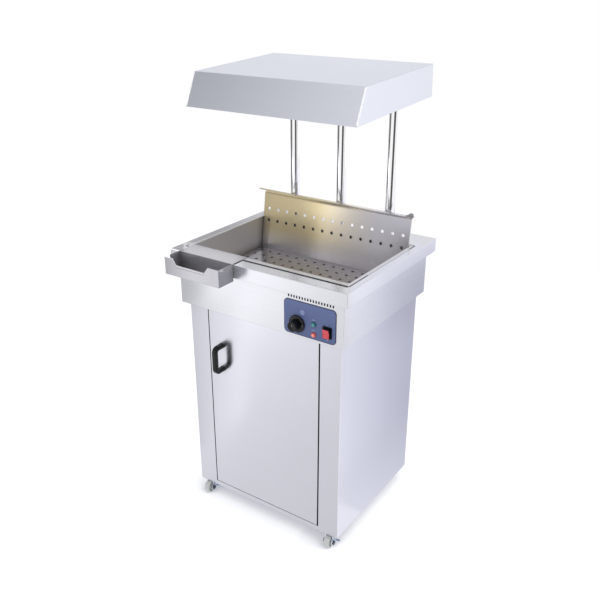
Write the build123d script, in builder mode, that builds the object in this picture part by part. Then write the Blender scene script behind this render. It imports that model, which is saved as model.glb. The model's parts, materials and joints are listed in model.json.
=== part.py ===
"""A floor-standing chip scuttle: a heated well under a lamp hood, on a cupboard with castors.

Millimetres. +Z is up and the front faces -Y. The origin is on the floor, below the middle of the
bounding box.
"""
import os
from math import cos, radians, sin, sqrt, tan

from build123d import *

# Sheet metal
SHEET = 1.2
BEND = 2.0

# Worktop
WORKTOP_WIDTH = 600.0
WORKTOP_DEPTH = 518.0
WORKTOP_HEIGHT = 861.0
FLANGE_HEIGHT = 40.0
FLANGE_RETURN = 10.0

# Head, the box under the worktop
HEAD_HEIGHT = 170.0
HEAD_INSET_SIDE = 17.0
HEAD_INSET_FRONT = 15.0
HEAD_INSET_BACK = 23.0

# Cabinet
CABINET_INSET_SIDE = 16.5
CABINET_INSET_FRONT = 19.0
CABINET_INSET_BACK = 16.5
STILE_WIDTH = 67.5
STILE_RETURN = 40.0
BACK_FLANGE = 18.0
SKIRT_DROP = 14.4

# Well pan, which hangs in a recess of the worktop
DECK_FRONT = 39.4
DECK_SIDE = 3.0
DECK_BEFORE_POST = 32.0
RIM_GAP = 4.0
RIM_SIDE = 10.0
RIM_FRONT = 19.0
RIM_BACK = 9.0
RIM_CORNER = 3.0
RIM_ROLL = 1.0
PAN_DEPTH = 120.0
PAN_CORNER = 5.0
PAN_FOOT = 3.0
LEDGE_LAP = 1.5
LEDGE_CLEARANCE = 0.5

# Perforated insert
INSERT_CLEARANCE = 1.5
INSERT_BACK_GAP = 4.0
INSERT_FRONT_GAP = 7.0
INSERT_FEET = 18.0
INSERT_LEAN = 7.5
INSERT_RISE = 83.0
INSERT_LIP = 20.0
INSERT_BEND = 10.0
EAR_REACH = 34.0
HOLE_DIAMETER = 10.0
HOLE_PITCH = 34.7
HOLE_ROW_PITCH = 37.5
HOLE_COLUMNS = 15
HOLE_BACK_ROWS = 2
HOLE_BASE_ROWS = 8
HOLE_TOP_MARGIN = 55.0

# Scoop holder
HOLDER_REACH = 63.0
HOLDER_WIDTH = 196.0
HOLDER_OFFSET = 165.0
HOLDER_DEPTH = 51.0
HOLDER_GAP = 0.5
HOLDER_HOOK = 13.0
HOLDER_HOOK_GAP = 0.4
NOTCH_TOP = 130.0
NOTCH_BOTTOM = 103.0
NOTCH_DEPTH = 18.0
NOTCH_OFFSET = 5.0

# Posts and hood
POST_DIAMETER = 30.0
POST_WALL = 1.5
POST_SPACING = 172.0
POST_FROM_BACK = 64.5
COLLAR_DIAMETER = 42.0
COLLAR_HEIGHT = 6.0
COLLAR_ROUND = 2.5
HOOD_WIDTH = 540.0
HOOD_TOP_DEPTH = 368.0
HOOD_RAKE = 46.0
HOOD_HEIGHT = 87.5
HOOD_TILT = 3.0
HOOD_RISE = 419.0
HOOD_BEHIND_POST = 29.5
HOOD_HEM = 12.0
BRACKET_DEPTH = 40.0
BRACKET_THICK = 3.0
BRACKET_RISE = 47.0
BRACKET_TAB = 25.0

# Heat lamps
LAMP_SPACING = 124.0
LAMP_FROM_HOOD_BACK = 299.0
LAMP_BAR_DEPTH = 40.0
LAMP_BAR_THICK = 2.0
LAMP_BAR_GAP = 5.0
LAMP_BAR_TAB = 18.0
SOCKET_DIAMETER = 42.0
SOCKET_HEIGHT = 30.0
SOCKET_BORE = 28.0
LAMP_NECK = 27.0
LAMP_NECK_LENGTH = 18.0
LAMP_SHOULDER = 34.0
LAMP_DIAMETER = 80.0
LAMP_CONE = 60.0
LAMP_RIM = 6.0
LAMP_DOME = 8.0

# Control panel on the head's front; the controls are placed from its middle
PANEL_WIDTH = 165.0
PANEL_HEIGHT = 100.0
PANEL_THICK = 1.5
PANEL_CORNER = 12.0
PANEL_INSET = 106.0
PANEL_RISE = 57.5
OPENING_CLEARANCE = 0.1
VENT_COUNT = 17
VENT_PITCH = 8.77
VENT_WIDTH = 4.2
VENT_HEIGHT = 7.5
VENT_OFFSET = 2.0
VENT_ABOVE_PANEL = 9.5

# Thermostat
KNOB_X = -39.0
KNOB_Z = -16.5
KNOB_SKIRT_DIAMETER = 50.0
KNOB_SKIRT_HEIGHT = 6.0
KNOB_GRIP_DIAMETER = 31.0
KNOB_GRIP_HEIGHT = 21.0
KNOB_ROUND = 1.5
KNOB_GAP = 0.8
POINTER_WIDTH = 2.5
POINTER_HEIGHT = 1.0
SPINDLE_DIAMETER = 6.0
SPINDLE_IN_KNOB = 16.0
SPINDLE_IN_BODY = 10.0
SPINDLE_CLEARANCE = 0.05
SPINDLE_END_GAP = 0.5
THERMOSTAT_SIZE = 36.0
THERMOSTAT_DEPTH = 28.0
BUSH_DIAMETER = 12.0
PROBE_DIAMETER = 8.0
PROBE_LENGTH = 80.0
PROBE_RISE = 30.0
CAPILLARY_DIAMETER = 2.5
CAPILLARY_BEND = 5.0

# Indicator lenses
LENS_X = 14.0
POWER_LENS_Z = -5.5
HEATING_LENS_Z = -36.0
LENS_DIAMETER = 13.0
LENS_HEIGHT = 5.0
LENS_ROUND = 2.0
LENS_FLANGE = 15.5
LENS_FLANGE_THICK = 1.5
LENS_BODY = 9.0
LENS_BODY_LENGTH = 22.0

# Rocker switch
ROCKER_X = 56.5
ROCKER_Z = -17.6
BEZEL_WIDTH = 28.0
BEZEL_HEIGHT = 33.0
BEZEL_THICK = 3.0
BEZEL_CORNER = 2.0
ROCKER_BODY_WIDTH = 25.0
ROCKER_BODY_HEIGHT = 31.0
ROCKER_BODY_DEPTH = 26.0
ROCKER_WALL = 2.0
ROCKER_END_WALL = 1.2
ROCKER_CAVITY = 8.0
ROCKER_CLEARANCE = 0.6
ROCKER_END_CLEARANCE = 0.9
ROCKER_TILT = 8.0
ROCKER_FACE = 8.5
ROCKER_BACK = 4.0
PIVOT_DIAMETER = 3.0
PIVOT_CLEARANCE = 0.05
PIVOT_IN_WALL = 1.0
PIVOT_END_GAP = 0.3

# Door
DOOR_DEPTH = 18.0
DOOR_GAP = 2.0
DOOR_HINGE_GAP = 5.0
DOOR_TOP_GAP = 5.0
HINGE_FROM_EDGE = 7.0
HINGE_DIAMETER = 8.0
HINGE_CLEARANCE = 0.06
HINGE_LENGTH = 14.0
HINGE_FLANGE = 14.0
HINGE_END_GAP = 0.4
HANDLE_HEIGHT = 91.0
HANDLE_STANDOFF = 40.0
HANDLE_WIDTH = 16.0
HANDLE_BAR = 13.0
HANDLE_LEG = 13.0
HANDLE_CORNER = 15.0
HANDLE_INNER_CORNER = 6.0
HANDLE_EDGE = 2.0
HANDLE_FROM_EDGE = 47.0
HANDLE_FROM_TOP = 152.0
SCREW_DIAMETER = 5.0
SCREW_HEAD_DIAMETER = 9.0
SCREW_HEAD_HEIGHT = 3.0
SCREW_IN_HANDLE = 10.0
CATCH_WIDTH = 14.0
CATCH_DEPTH = 16.0
CATCH_HEIGHT = 46.0
CATCH_GAP = 0.3
CATCH_FROM_TOP = 60.0
STRIKE_THICK = 1.5
STRIKE_INSET = 1.0

# Heating element and wiring
ELEMENT_DIAMETER = 8.0
ELEMENT_RUNS = 6
ELEMENT_PITCH = 50.0
ELEMENT_LENGTH = 230.0
ELEMENT_TAIL = 25.0
TERMINAL_WIDTH = 50.0
TERMINAL_DEPTH = 26.0
TERMINAL_HEIGHT = 24.0
GLAND_BORE = 10.0
GLAND_THREAD = 16.0
GLAND_HEX = 22.0
GLAND_NUT = 5.0
GLAND_BODY = 12.0
GLAND_DOME = 6.0
GLAND_RISE = 40.0
CABLE_DIAMETER = 7.0
CABLE_CLEARANCE = 1.0
CABLE_BEND = 12.0
WIRE_DIAMETER = 4.0
WIRE_BEND = 10.0

# Castors
CASTOR_HEIGHT = 58.0
CASTOR_FRONT_TURN = 4.0
CASTOR_REAR_TURN = 100.0
CASTOR_TRAIL = 24.0
WHEEL_DIAMETER = 40.0
WHEEL_WIDTH = 17.0
WHEEL_EDGE = 2.5
WHEEL_RECESS = 1.5
WHEEL_HUB = 17.0
WHEEL_RIM = 31.0
WHEEL_SIDE_GAP = 2.0
AXLE_DIAMETER = 8.0
AXLE_CLEARANCE = 0.05
AXLE_HEAD_DIAMETER = 14.0
AXLE_HEAD_THICK = 3.5
FORK_THICK = 2.5
FORK_BOSS = 17.0
FORK_LENGTH = 26.0
PLATE_WIDTH = 58.0
PLATE_DEPTH = 48.0
PLATE_THICK = 2.5
PLATE_CORNER = 4.0
PLATE_MARGIN = 1.3
PLATE_HOLES_X = 44.0
PLATE_HOLES_Y = 34.0
BOLT_DIAMETER = 6.0
BOLT_CLEARANCE = 0.2
BOLT_HEAD_DIAMETER = 10.0
BOLT_HEAD_HEIGHT = 3.5
NUT_HEIGHT = 4.0
RACE_DIAMETER = 34.0
RACE_HEIGHT = 5.0
KING_PIN_DIAMETER = 10.0
KING_PIN_CLEARANCE = 0.08
KING_HEAD_DIAMETER = 18.0
KING_HEAD_HEIGHT = 2.5
SWIVEL_GAP = 0.3
BRAKE_THICK = 2.0
BRAKE_GAP = 0.4
BRAKE_BOSS = 18.0
BRAKE_REACH = 20.0
BRAKE_TIP = 9.0
BRAKE_RISE = -4.0
BRAKE_TAB = 14.0

# Planes and places that several pieces share
half_width = WORKTOP_WIDTH / 2
top_front = (HOLDER_REACH - WORKTOP_DEPTH) / 2
top_back = top_front + WORKTOP_DEPTH
top_under = WORKTOP_HEIGHT - SHEET
flange_bottom = WORKTOP_HEIGHT - FLANGE_HEIGHT
head_half = half_width - HEAD_INSET_SIDE
head_front = top_front + HEAD_INSET_FRONT
head_back = top_back - HEAD_INSET_BACK
head_bottom = WORKTOP_HEIGHT - HEAD_HEIGHT
head_deck = head_bottom + SHEET
head_inside = head_front + SHEET
cabinet_half = head_half - CABINET_INSET_SIDE
cabinet_front = head_front + CABINET_INSET_FRONT
cabinet_rear = head_back - CABINET_INSET_BACK
cabinet_bottom = CASTOR_HEIGHT - SKIRT_DROP
cabinet_inside = cabinet_half - SHEET
back_face = cabinet_rear - SHEET
floor_top = CASTOR_HEIGHT + SHEET
opening_half = cabinet_half - STILE_WIDTH
post_y = top_back - POST_FROM_BACK
post_places = {"left": -POST_SPACING, "middle": 0.0, "right": POST_SPACING}
cut_half = head_half - DECK_SIDE
cut_front = top_front + DECK_FRONT
cut_back = post_y - DECK_BEFORE_POST
rim_half = cut_half - RIM_GAP
rim_front = cut_front + RIM_GAP
rim_back = cut_back - RIM_GAP
well_half = rim_half - RIM_SIDE
well_front = rim_front + RIM_FRONT
well_back = rim_back - RIM_BACK
pan_floor = WORKTOP_HEIGHT - PAN_DEPTH
pan_under = pan_floor - SHEET
hood_low = WORKTOP_HEIGHT + HOOD_RISE
hood_back = post_y + HOOD_BEHIND_POST
hood_half = HOOD_WIDTH / 2
bracket_low = hood_low + BRACKET_RISE
bracket_top = bracket_low + BRACKET_THICK
cable_hole = CABLE_DIAMETER + 2 * CABLE_CLEARANCE
panel_face = head_front - PANEL_THICK
panel_x = head_half - PANEL_INSET
panel_z = head_bottom + PANEL_RISE
knob_x = panel_x + KNOB_X
knob_z = panel_z + KNOB_Z
rocker_x = panel_x + ROCKER_X
rocker_z = panel_z + ROCKER_Z
lens_places = {
    "power_indicator": (panel_x + LENS_X, panel_z + POWER_LENS_Z),
    "heating_indicator": (panel_x + LENS_X, panel_z + HEATING_LENS_Z),
}

os.makedirs("parts", exist_ok=True)


def save(builder, name):
    """Label a finished piece and write its file."""
    builder.part.label = name
    export_step(builder.part, f"parts/{name}.step")


def middle(span):
    """The middle of a span."""
    return (span[0] + span[1]) / 2


def size(span):
    """The length of a span."""
    return span[1] - span[0]


def both(half):
    """The span that reaches equally far to the left and right."""
    return (-half, half)


def around(centre, width):
    """The span of a width around its centre."""
    return (centre - width / 2, centre + width / 2)


def block(x, y, z, mode=Mode.ADD):
    """A rectangular block in the active part, from one span for each axis."""
    with Locations((middle(x), middle(y), middle(z))):
        Box(size(x), size(y), size(z), mode=mode)


def rounded_block(x, y, z, corner, mode=Mode.ADD):
    """A block in the active part with rounded upright edges."""
    with BuildSketch(Plane.XY.offset(z[0])) as outline:
        with Locations((middle(x), middle(y))):
            RectangleRounded(size(x), size(y), corner)
    extrude(outline.sketch, amount=size(z), mode=mode)


def rod(start, direction, diameter, length, mode=Mode.ADD):
    """A round bar in the active part, from a start point along a direction."""
    with BuildSketch(Plane(origin=start, z_dir=direction)) as section:
        Circle(diameter / 2)
    extrude(section.sketch, amount=length, mode=mode)


def bent_rod(points, diameter, bend):
    """A round bar in the active part that follows the points, with a bend at each corner."""
    with BuildLine() as route:
        FilletPolyline(*points, radius=bend)
    with BuildSketch(Plane(origin=points[0], z_dir=route.line % 0)) as section:
        Circle(diameter / 2)
    sweep(section.sketch, path=route.line)


def facing_front(y):
    """The upright plane at y that faces the front, with X to the right and Z up."""
    return Plane(origin=(0, y, 0), x_dir=(1, 0, 0), z_dir=(0, -1, 0))


# Cabinet sides, each folded with its front stile, its door return and its back flange
for side, name in ((-1, "cabinet_left_side"), (1, "cabinet_right_side")):
    with BuildPart() as cabinet_side:
        with BuildSketch(Plane.XY.offset(cabinet_bottom)):
            with Locations((side * (cabinet_half - SHEET / 2), middle((cabinet_front, cabinet_rear)))):
                Rectangle(SHEET, cabinet_rear - cabinet_front)
            with Locations((side * (cabinet_half - STILE_WIDTH / 2), cabinet_front + SHEET / 2)):
                Rectangle(STILE_WIDTH, SHEET)
            with Locations((side * (cabinet_half - BACK_FLANGE / 2), cabinet_rear - SHEET / 2)):
                Rectangle(BACK_FLANGE, SHEET)
        extrude(amount=head_bottom - cabinet_bottom)
        outer_edges = cabinet_side.edges().filter_by(Axis.Z).sort_by(Axis.X)
        outer_edges = outer_edges[-2:] if side > 0 else outer_edges[:2]
        fillet(outer_edges, BEND)
        with BuildSketch(Plane.XY.offset(floor_top)):
            with Locations((side * (opening_half + SHEET / 2), cabinet_front + STILE_RETURN / 2)):
                Rectangle(SHEET, STILE_RETURN)
        extrude(amount=head_bottom - floor_top)
    save(cabinet_side, name)

# Cabinet back, in front of the flanges of the two sides
with BuildPart() as cabinet_back:
    block(both(cabinet_inside), (back_face - SHEET, back_face), (floor_top, head_bottom))
save(cabinet_back, "cabinet_back")

# Cabinet floor, with the bottom rail under the door and a stiffening fold at the back
castor_x = cabinet_inside - PLATE_MARGIN - PLATE_WIDTH / 2
castor_front = cabinet_front + SHEET + PLATE_MARGIN + PLATE_DEPTH / 2
castor_rear = back_face - SHEET - PLATE_MARGIN - PLATE_DEPTH / 2
castor_places = {
    "front_left": (-castor_x, castor_front),
    "front_right": (castor_x, castor_front),
    "rear_left": (-castor_x, castor_rear),
    "rear_right": (castor_x, castor_rear),
}
bolt_places = [
    (x + dx * PLATE_HOLES_X / 2, y + dy * PLATE_HOLES_Y / 2)
    for x, y in castor_places.values()
    for dx in (-1, 1)
    for dy in (-1, 1)
]
with BuildPart() as cabinet_floor:
    block(both(cabinet_inside), (cabinet_front + SHEET, back_face), (CASTOR_HEIGHT, floor_top))
    block(both(opening_half), (cabinet_front, cabinet_front + SHEET), (cabinet_bottom, floor_top))
    block(both(cabinet_inside), (back_face - SHEET, back_face), (cabinet_bottom, floor_top))
    with BuildSketch(Plane.XY.offset(CASTOR_HEIGHT)):
        with Locations(*bolt_places):
            Circle(BOLT_DIAMETER / 2 + BOLT_CLEARANCE)
    extrude(amount=SHEET, mode=Mode.SUBTRACT)
save(cabinet_floor, "cabinet_floor")

# Head floor, which is the cupboard's ceiling
with BuildPart() as head_floor:
    block(both(head_half - SHEET), (head_inside, head_back - SHEET), (head_bottom, head_deck))
save(head_floor, "head_floor")


def control_openings(mode):
    """The openings for the controls, in the active sketch."""
    with Locations((knob_x, knob_z)):
        Circle(BUSH_DIAMETER / 2 + OPENING_CLEARANCE, mode=mode)
    with Locations(*lens_places.values()):
        Circle(LENS_BODY / 2 + OPENING_CLEARANCE, mode=mode)
    with Locations((rocker_x, rocker_z)):
        Rectangle(
            ROCKER_BODY_WIDTH + 2 * OPENING_CLEARANCE,
            ROCKER_BODY_HEIGHT + 2 * OPENING_CLEARANCE,
            mode=mode,
        )


# Head shell, with the vent slots and the openings for the controls and the cable gland
vent_z = panel_z + PANEL_HEIGHT / 2 + VENT_ABOVE_PANEL
gland_z = head_bottom + GLAND_RISE
with BuildPart() as head_shell:
    block(both(head_half), (head_front, head_back), (head_bottom, top_under))
    fillet(head_shell.edges().filter_by(Axis.Z), BEND)
    block(
        both(head_half - SHEET),
        (head_inside, head_back - SHEET),
        (head_bottom, top_under),
        mode=Mode.SUBTRACT,
    )
    with BuildSketch(facing_front(head_inside)):
        control_openings(Mode.ADD)
        with Locations((panel_x + VENT_OFFSET, vent_z)):
            with GridLocations(VENT_PITCH, VENT_HEIGHT, VENT_COUNT, 1):
                Rectangle(VENT_WIDTH, VENT_HEIGHT)
    extrude(amount=SHEET, mode=Mode.SUBTRACT)
    with BuildSketch(facing_front(head_back)):
        with Locations((POST_SPACING, gland_z)):
            Circle(GLAND_THREAD / 2 + OPENING_CLEARANCE)
    extrude(amount=SHEET, mode=Mode.SUBTRACT)
save(head_shell, "head_shell")

# Worktop, a folded tray with a recessed ledge for the pan and a cable hole under the right post
with BuildPart() as worktop:
    block(both(half_width), (top_front, top_back), (flange_bottom, WORKTOP_HEIGHT))
    fillet(worktop.edges().filter_by(Axis.Z) + worktop.faces().sort_by(Axis.Z)[-1].edges(), BEND)
    block(
        both(half_width - SHEET),
        (top_front + SHEET, top_back - SHEET),
        (flange_bottom + SHEET, top_under),
        mode=Mode.SUBTRACT,
    )
    block(
        both(half_width - FLANGE_RETURN),
        (top_front + FLANGE_RETURN, top_back - FLANGE_RETURN),
        (flange_bottom, flange_bottom + SHEET),
        mode=Mode.SUBTRACT,
    )
    rounded_block(
        both(cut_half + LEDGE_LAP),
        (cut_front - LEDGE_LAP, cut_back + LEDGE_LAP),
        (top_under - SHEET, top_under),
        RIM_CORNER + RIM_GAP + LEDGE_LAP,
    )
    rounded_block(
        both(cut_half),
        (cut_front, cut_back),
        (top_under, WORKTOP_HEIGHT),
        RIM_CORNER + RIM_GAP,
        mode=Mode.SUBTRACT,
    )
    rounded_block(
        both(well_half + SHEET + LEDGE_CLEARANCE),
        (well_front - SHEET - LEDGE_CLEARANCE, well_back + SHEET + LEDGE_CLEARANCE),
        (top_under - SHEET, top_under),
        PAN_CORNER + SHEET + LEDGE_CLEARANCE,
        mode=Mode.SUBTRACT,
    )
    rod((POST_SPACING, post_y, top_under), (0, 0, 1), cable_hole, SHEET, mode=Mode.SUBTRACT)
save(worktop, "worktop")

# Well pan
with BuildPart() as well_pan:
    rounded_block(
        both(well_half + SHEET),
        (well_front - SHEET, well_back + SHEET),
        (pan_under, WORKTOP_HEIGHT),
        PAN_CORNER + SHEET,
    )
    rounded_block(both(rim_half), (rim_front, rim_back), (top_under, WORKTOP_HEIGHT), RIM_CORNER)
    rounded_block(
        both(well_half),
        (well_front, well_back),
        (pan_floor, WORKTOP_HEIGHT),
        PAN_CORNER,
        mode=Mode.SUBTRACT,
    )
    fillet(well_pan.faces().filter_by(Plane.XY).sort_by(Axis.Z)[1].edges(), PAN_FOOT)
    fillet(well_pan.faces().sort_by(Axis.Z)[0].edges(), PAN_FOOT + SHEET)
    fillet(well_pan.faces().sort_by(Axis.Z)[-1].inner_wires()[0].edges(), RIM_ROLL)
save(well_pan, "well_pan")

# Perforated insert: a base on folded feet and a leaning back, rolled to a lip with an ear on its left
lean = radians(INSERT_LEAN)
insert_half = well_half - INSERT_CLEARANCE
feet_half = insert_half - PAN_FOOT
insert_front = well_front + INSERT_FRONT_GAP
insert_low = pan_floor + INSERT_FEET
insert_base = insert_low + SHEET
lip_top = WORKTOP_HEIGHT + INSERT_RISE
plate_y = well_back - INSERT_BACK_GAP
foot_y = plate_y - (WORKTOP_HEIGHT - insert_base) * tan(lean)
lip_y = plate_y + INSERT_RISE * tan(lean)
plate_length = (lip_top - insert_base) / cos(lean)
hole_middle = plate_length - HOLE_TOP_MARGIN - (HOLE_BACK_ROWS - 1) * HOLE_ROW_PITCH / 2
insert_back = Plane(origin=(0, foot_y, insert_base), x_dir=(1, 0, 0), z_dir=(0, -cos(lean), sin(lean)))
with BuildPart() as perforated_insert:
    with BuildSketch(insert_back):
        with Locations((0, middle((-SHEET, plate_length)))):
            Rectangle(2 * insert_half, plate_length + SHEET)
        with Locations((0, hole_middle)):
            with GridLocations(HOLE_PITCH, HOLE_ROW_PITCH, HOLE_COLUMNS, HOLE_BACK_ROWS):
                Circle(HOLE_DIAMETER / 2, mode=Mode.SUBTRACT)
    extrude(amount=-SHEET)
    with BuildSketch(Plane.XY.offset(insert_low)):
        with Locations((0, middle((insert_front, foot_y + SHEET)))):
            Rectangle(2 * insert_half, foot_y + SHEET - insert_front)
        with Locations((0, middle((insert_front, foot_y)))):
            with GridLocations(HOLE_PITCH, HOLE_ROW_PITCH, HOLE_COLUMNS, HOLE_BASE_ROWS):
                Circle(HOLE_DIAMETER / 2, mode=Mode.SUBTRACT)
    extrude(amount=SHEET)
    block(both(feet_half), (insert_front, insert_front + SHEET), (pan_floor, insert_base))
    for side in (-1, 1):
        block(around(side * (feet_half - SHEET / 2), SHEET), (insert_front, foot_y), (pan_floor, insert_base))
    block(both(insert_half), (lip_y, lip_y + INSERT_LIP), (lip_top - SHEET, lip_top))
    fold = perforated_insert.edges().filter_by(Axis.X).sort_by_distance((0, lip_y + SHEET, lip_top - SHEET))[0]
    fillet(fold, INSERT_BEND - SHEET)
    fold = perforated_insert.edges().filter_by(Axis.X).sort_by_distance((0, lip_y, lip_top))[0]
    fillet(fold, INSERT_BEND)
    block((-insert_half - EAR_REACH, 0), (lip_y + INSERT_BEND, lip_y + INSERT_LIP), (lip_top - SHEET, lip_top))
save(perforated_insert, "perforated_insert")

# Scoop holder: a notched tray that hooks over the front edge into the well
holder_span = around(-HOLDER_OFFSET, HOLDER_WIDTH)
holder_front = top_front - HOLDER_REACH
holder_back = top_front - HOLDER_GAP
holder_top = WORKTOP_HEIGHT + SHEET
holder_bottom = holder_top - HOLDER_DEPTH
hook_front = well_front + HOLDER_HOOK_GAP
notch_corners = [
    (-HOLDER_OFFSET - NOTCH_OFFSET - NOTCH_TOP / 2, holder_top),
    (-HOLDER_OFFSET - NOTCH_OFFSET - NOTCH_BOTTOM / 2, holder_top - NOTCH_DEPTH),
    (-HOLDER_OFFSET - NOTCH_OFFSET + NOTCH_BOTTOM / 2, holder_top - NOTCH_DEPTH),
    (-HOLDER_OFFSET - NOTCH_OFFSET + NOTCH_TOP / 2, holder_top),
]
with BuildPart() as scoop_holder:
    block(holder_span, (holder_front, holder_back), (holder_bottom, holder_top))
    block(
        (holder_span[0] + SHEET, holder_span[1] - SHEET),
        (holder_front + 2 * SHEET, holder_back - SHEET),
        (holder_bottom + SHEET, holder_top),
        mode=Mode.SUBTRACT,
    )
    with BuildSketch(facing_front(holder_front + 2 * SHEET)):
        Polygon(*notch_corners, align=None)
    extrude(amount=2 * SHEET, mode=Mode.SUBTRACT)
    block(holder_span, (holder_back - SHEET, hook_front + SHEET), (WORKTOP_HEIGHT, holder_top))
    block(
        (holder_span[0] + PAN_CORNER, holder_span[1] - PAN_CORNER),
        (hook_front, hook_front + SHEET),
        (holder_top - HOLDER_HOOK, holder_top),
    )
save(scoop_holder, "scoop_holder")

# Posts, with a collar at each foot
for name, x in post_places.items():
    with BuildPart() as post:
        with BuildSketch(Plane.XY.offset(WORKTOP_HEIGHT)):
            with Locations((x, post_y)):
                Circle(POST_DIAMETER / 2)
                Circle(POST_DIAMETER / 2 - POST_WALL, mode=Mode.SUBTRACT)
        extrude(amount=bracket_low - WORKTOP_HEIGHT)
    save(post, f"post_{name}")

with BuildPart() as post_collars:
    with BuildSketch(Plane.XY.offset(WORKTOP_HEIGHT)):
        with Locations(*[(x, post_y) for x in post_places.values()]):
            Circle(COLLAR_DIAMETER / 2)
    extrude(amount=COLLAR_HEIGHT)
    fillet(post_collars.faces().filter_by(Plane.XY).group_by(Axis.Z)[-1].edges(), COLLAR_ROUND)
    for x in post_places.values():
        rod((x, post_y, WORKTOP_HEIGHT), (0, 0, 1), POST_DIAMETER, COLLAR_HEIGHT, mode=Mode.SUBTRACT)
save(post_collars, "post_collars")

# Hood, pitched forward, with its own axes: X across, Y to the back and Z up through the hood
tilt = radians(HOOD_TILT)
hood_frame = Plane(origin=(0, hood_back, hood_low), x_dir=(1, 0, 0), z_dir=(0, -sin(tilt), cos(tilt)))
hood_profile = Plane(origin=hood_frame.origin, x_dir=hood_frame.y_dir, z_dir=(1, 0, 0))
hood_corners = [
    (0, 0),
    (0, HOOD_HEIGHT),
    (-HOOD_TOP_DEPTH, HOOD_HEIGHT),
    (-HOOD_TOP_DEPTH - HOOD_RAKE, 0),
]
hood_mouth = HOOD_TOP_DEPTH + HOOD_RAKE
with BuildPart() as hood_shell:
    with BuildSketch(hood_profile):
        Polygon(*hood_corners, align=None)
    extrude(amount=hood_half, both=True)
    hood_faces = hood_shell.faces().sort_by(Axis(hood_frame.origin, hood_frame.z_dir))
    fillet(hood_shell.edges() - hood_faces[0].edges(), BEND)
    with BuildSketch(hood_profile):
        Polygon(*hood_corners, align=None)
        offset(amount=-SHEET, mode=Mode.REPLACE)
    extrude(amount=hood_half - SHEET, both=True, mode=Mode.SUBTRACT)
    with BuildSketch(hood_frame):
        with Locations((0, -hood_mouth / 2)):
            Rectangle(HOOD_WIDTH - 2 * HOOD_HEM, hood_mouth - 2 * HOOD_HEM)
    extrude(amount=SHEET, mode=Mode.SUBTRACT)
save(hood_shell, "hood_shell")

# Hood bracket, a bar across the posts with a tab at each end
bracket_half = hood_half - SHEET
with BuildPart() as hood_bracket:
    block(both(bracket_half), around(post_y, BRACKET_DEPTH), (bracket_low, bracket_top))
    for side in (-1, 1):
        block(
            around(side * (bracket_half - BRACKET_THICK / 2), BRACKET_THICK),
            around(post_y, BRACKET_DEPTH),
            (bracket_low, bracket_top + BRACKET_TAB),
        )
    rod((POST_SPACING, post_y, bracket_low), (0, 0, 1), cable_hole, BRACKET_THICK, mode=Mode.SUBTRACT)
save(hood_bracket, "hood_bracket")

# Lamp bar and sockets, in the hood's own axes
bar_top = HOOD_HEIGHT - SHEET - LAMP_BAR_GAP
bar_low = bar_top - LAMP_BAR_THICK
socket_low = bar_low - SOCKET_HEIGHT
lamp_places = {"left": -LAMP_SPACING, "right": LAMP_SPACING}
with BuildPart(hood_frame) as lamp_bar:
    block(both(bracket_half), around(-LAMP_FROM_HOOD_BACK, LAMP_BAR_DEPTH), (bar_low, bar_top))
    for side in (-1, 1):
        block(
            around(side * (bracket_half - LAMP_BAR_THICK / 2), LAMP_BAR_THICK),
            around(-LAMP_FROM_HOOD_BACK, LAMP_BAR_DEPTH),
            (bar_top - LAMP_BAR_TAB, bar_top),
        )
save(lamp_bar, "lamp_bar")

with BuildPart() as lamp_sockets:
    with BuildSketch(hood_frame.offset(socket_low)):
        with Locations(*[(x, -LAMP_FROM_HOOD_BACK) for x in lamp_places.values()]):
            Circle(SOCKET_DIAMETER / 2)
    extrude(amount=SOCKET_HEIGHT)
    with BuildSketch(hood_frame.offset(socket_low)):
        with Locations(*[(x, -LAMP_FROM_HOOD_BACK) for x in lamp_places.values()]):
            Circle(SOCKET_BORE / 2)
    extrude(amount=LAMP_NECK_LENGTH, mode=Mode.SUBTRACT)
save(lamp_sockets, "lamp_sockets")

# Heat lamps: reflector bulbs whose shoulder meets the socket
lamp_radius = LAMP_DIAMETER / 2
lamp_rim_low = -LAMP_CONE - LAMP_RIM
dome_radius = (lamp_radius**2 + LAMP_DOME**2) / (2 * LAMP_DOME)
dome_middle = lamp_rim_low - LAMP_DOME + dome_radius - sqrt(dome_radius**2 - (lamp_radius / 2) ** 2)
for name, x in lamp_places.items():
    lamp_root = hood_frame.from_local_coords((x, -LAMP_FROM_HOOD_BACK, socket_low))
    with BuildPart() as heat_lamp:
        with BuildSketch(Plane(origin=lamp_root, x_dir=(1, 0, 0), z_dir=-hood_frame.y_dir)):
            with BuildLine():
                Polyline(
                    (0, LAMP_NECK_LENGTH),
                    (LAMP_NECK / 2, LAMP_NECK_LENGTH),
                    (LAMP_NECK / 2, 0),
                    (LAMP_SHOULDER / 2, 0),
                    (lamp_radius, -LAMP_CONE),
                    (lamp_radius, lamp_rim_low),
                )
                ThreePointArc(
                    (lamp_radius, lamp_rim_low),
                    (lamp_radius / 2, dome_middle),
                    (0, lamp_rim_low - LAMP_DOME),
                )
                Line((0, lamp_rim_low - LAMP_DOME), (0, LAMP_NECK_LENGTH))
            make_face()
        revolve(axis=Axis(lamp_root, hood_frame.z_dir))
    save(heat_lamp, f"heat_lamp_{name}")

# Control panel plate
with BuildPart() as control_panel:
    with BuildSketch(facing_front(head_front)):
        with Locations((panel_x, panel_z)):
            RectangleRounded(PANEL_WIDTH, PANEL_HEIGHT, PANEL_CORNER)
        control_openings(Mode.SUBTRACT)
    extrude(amount=PANEL_THICK)
save(control_panel, "control_panel")

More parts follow.
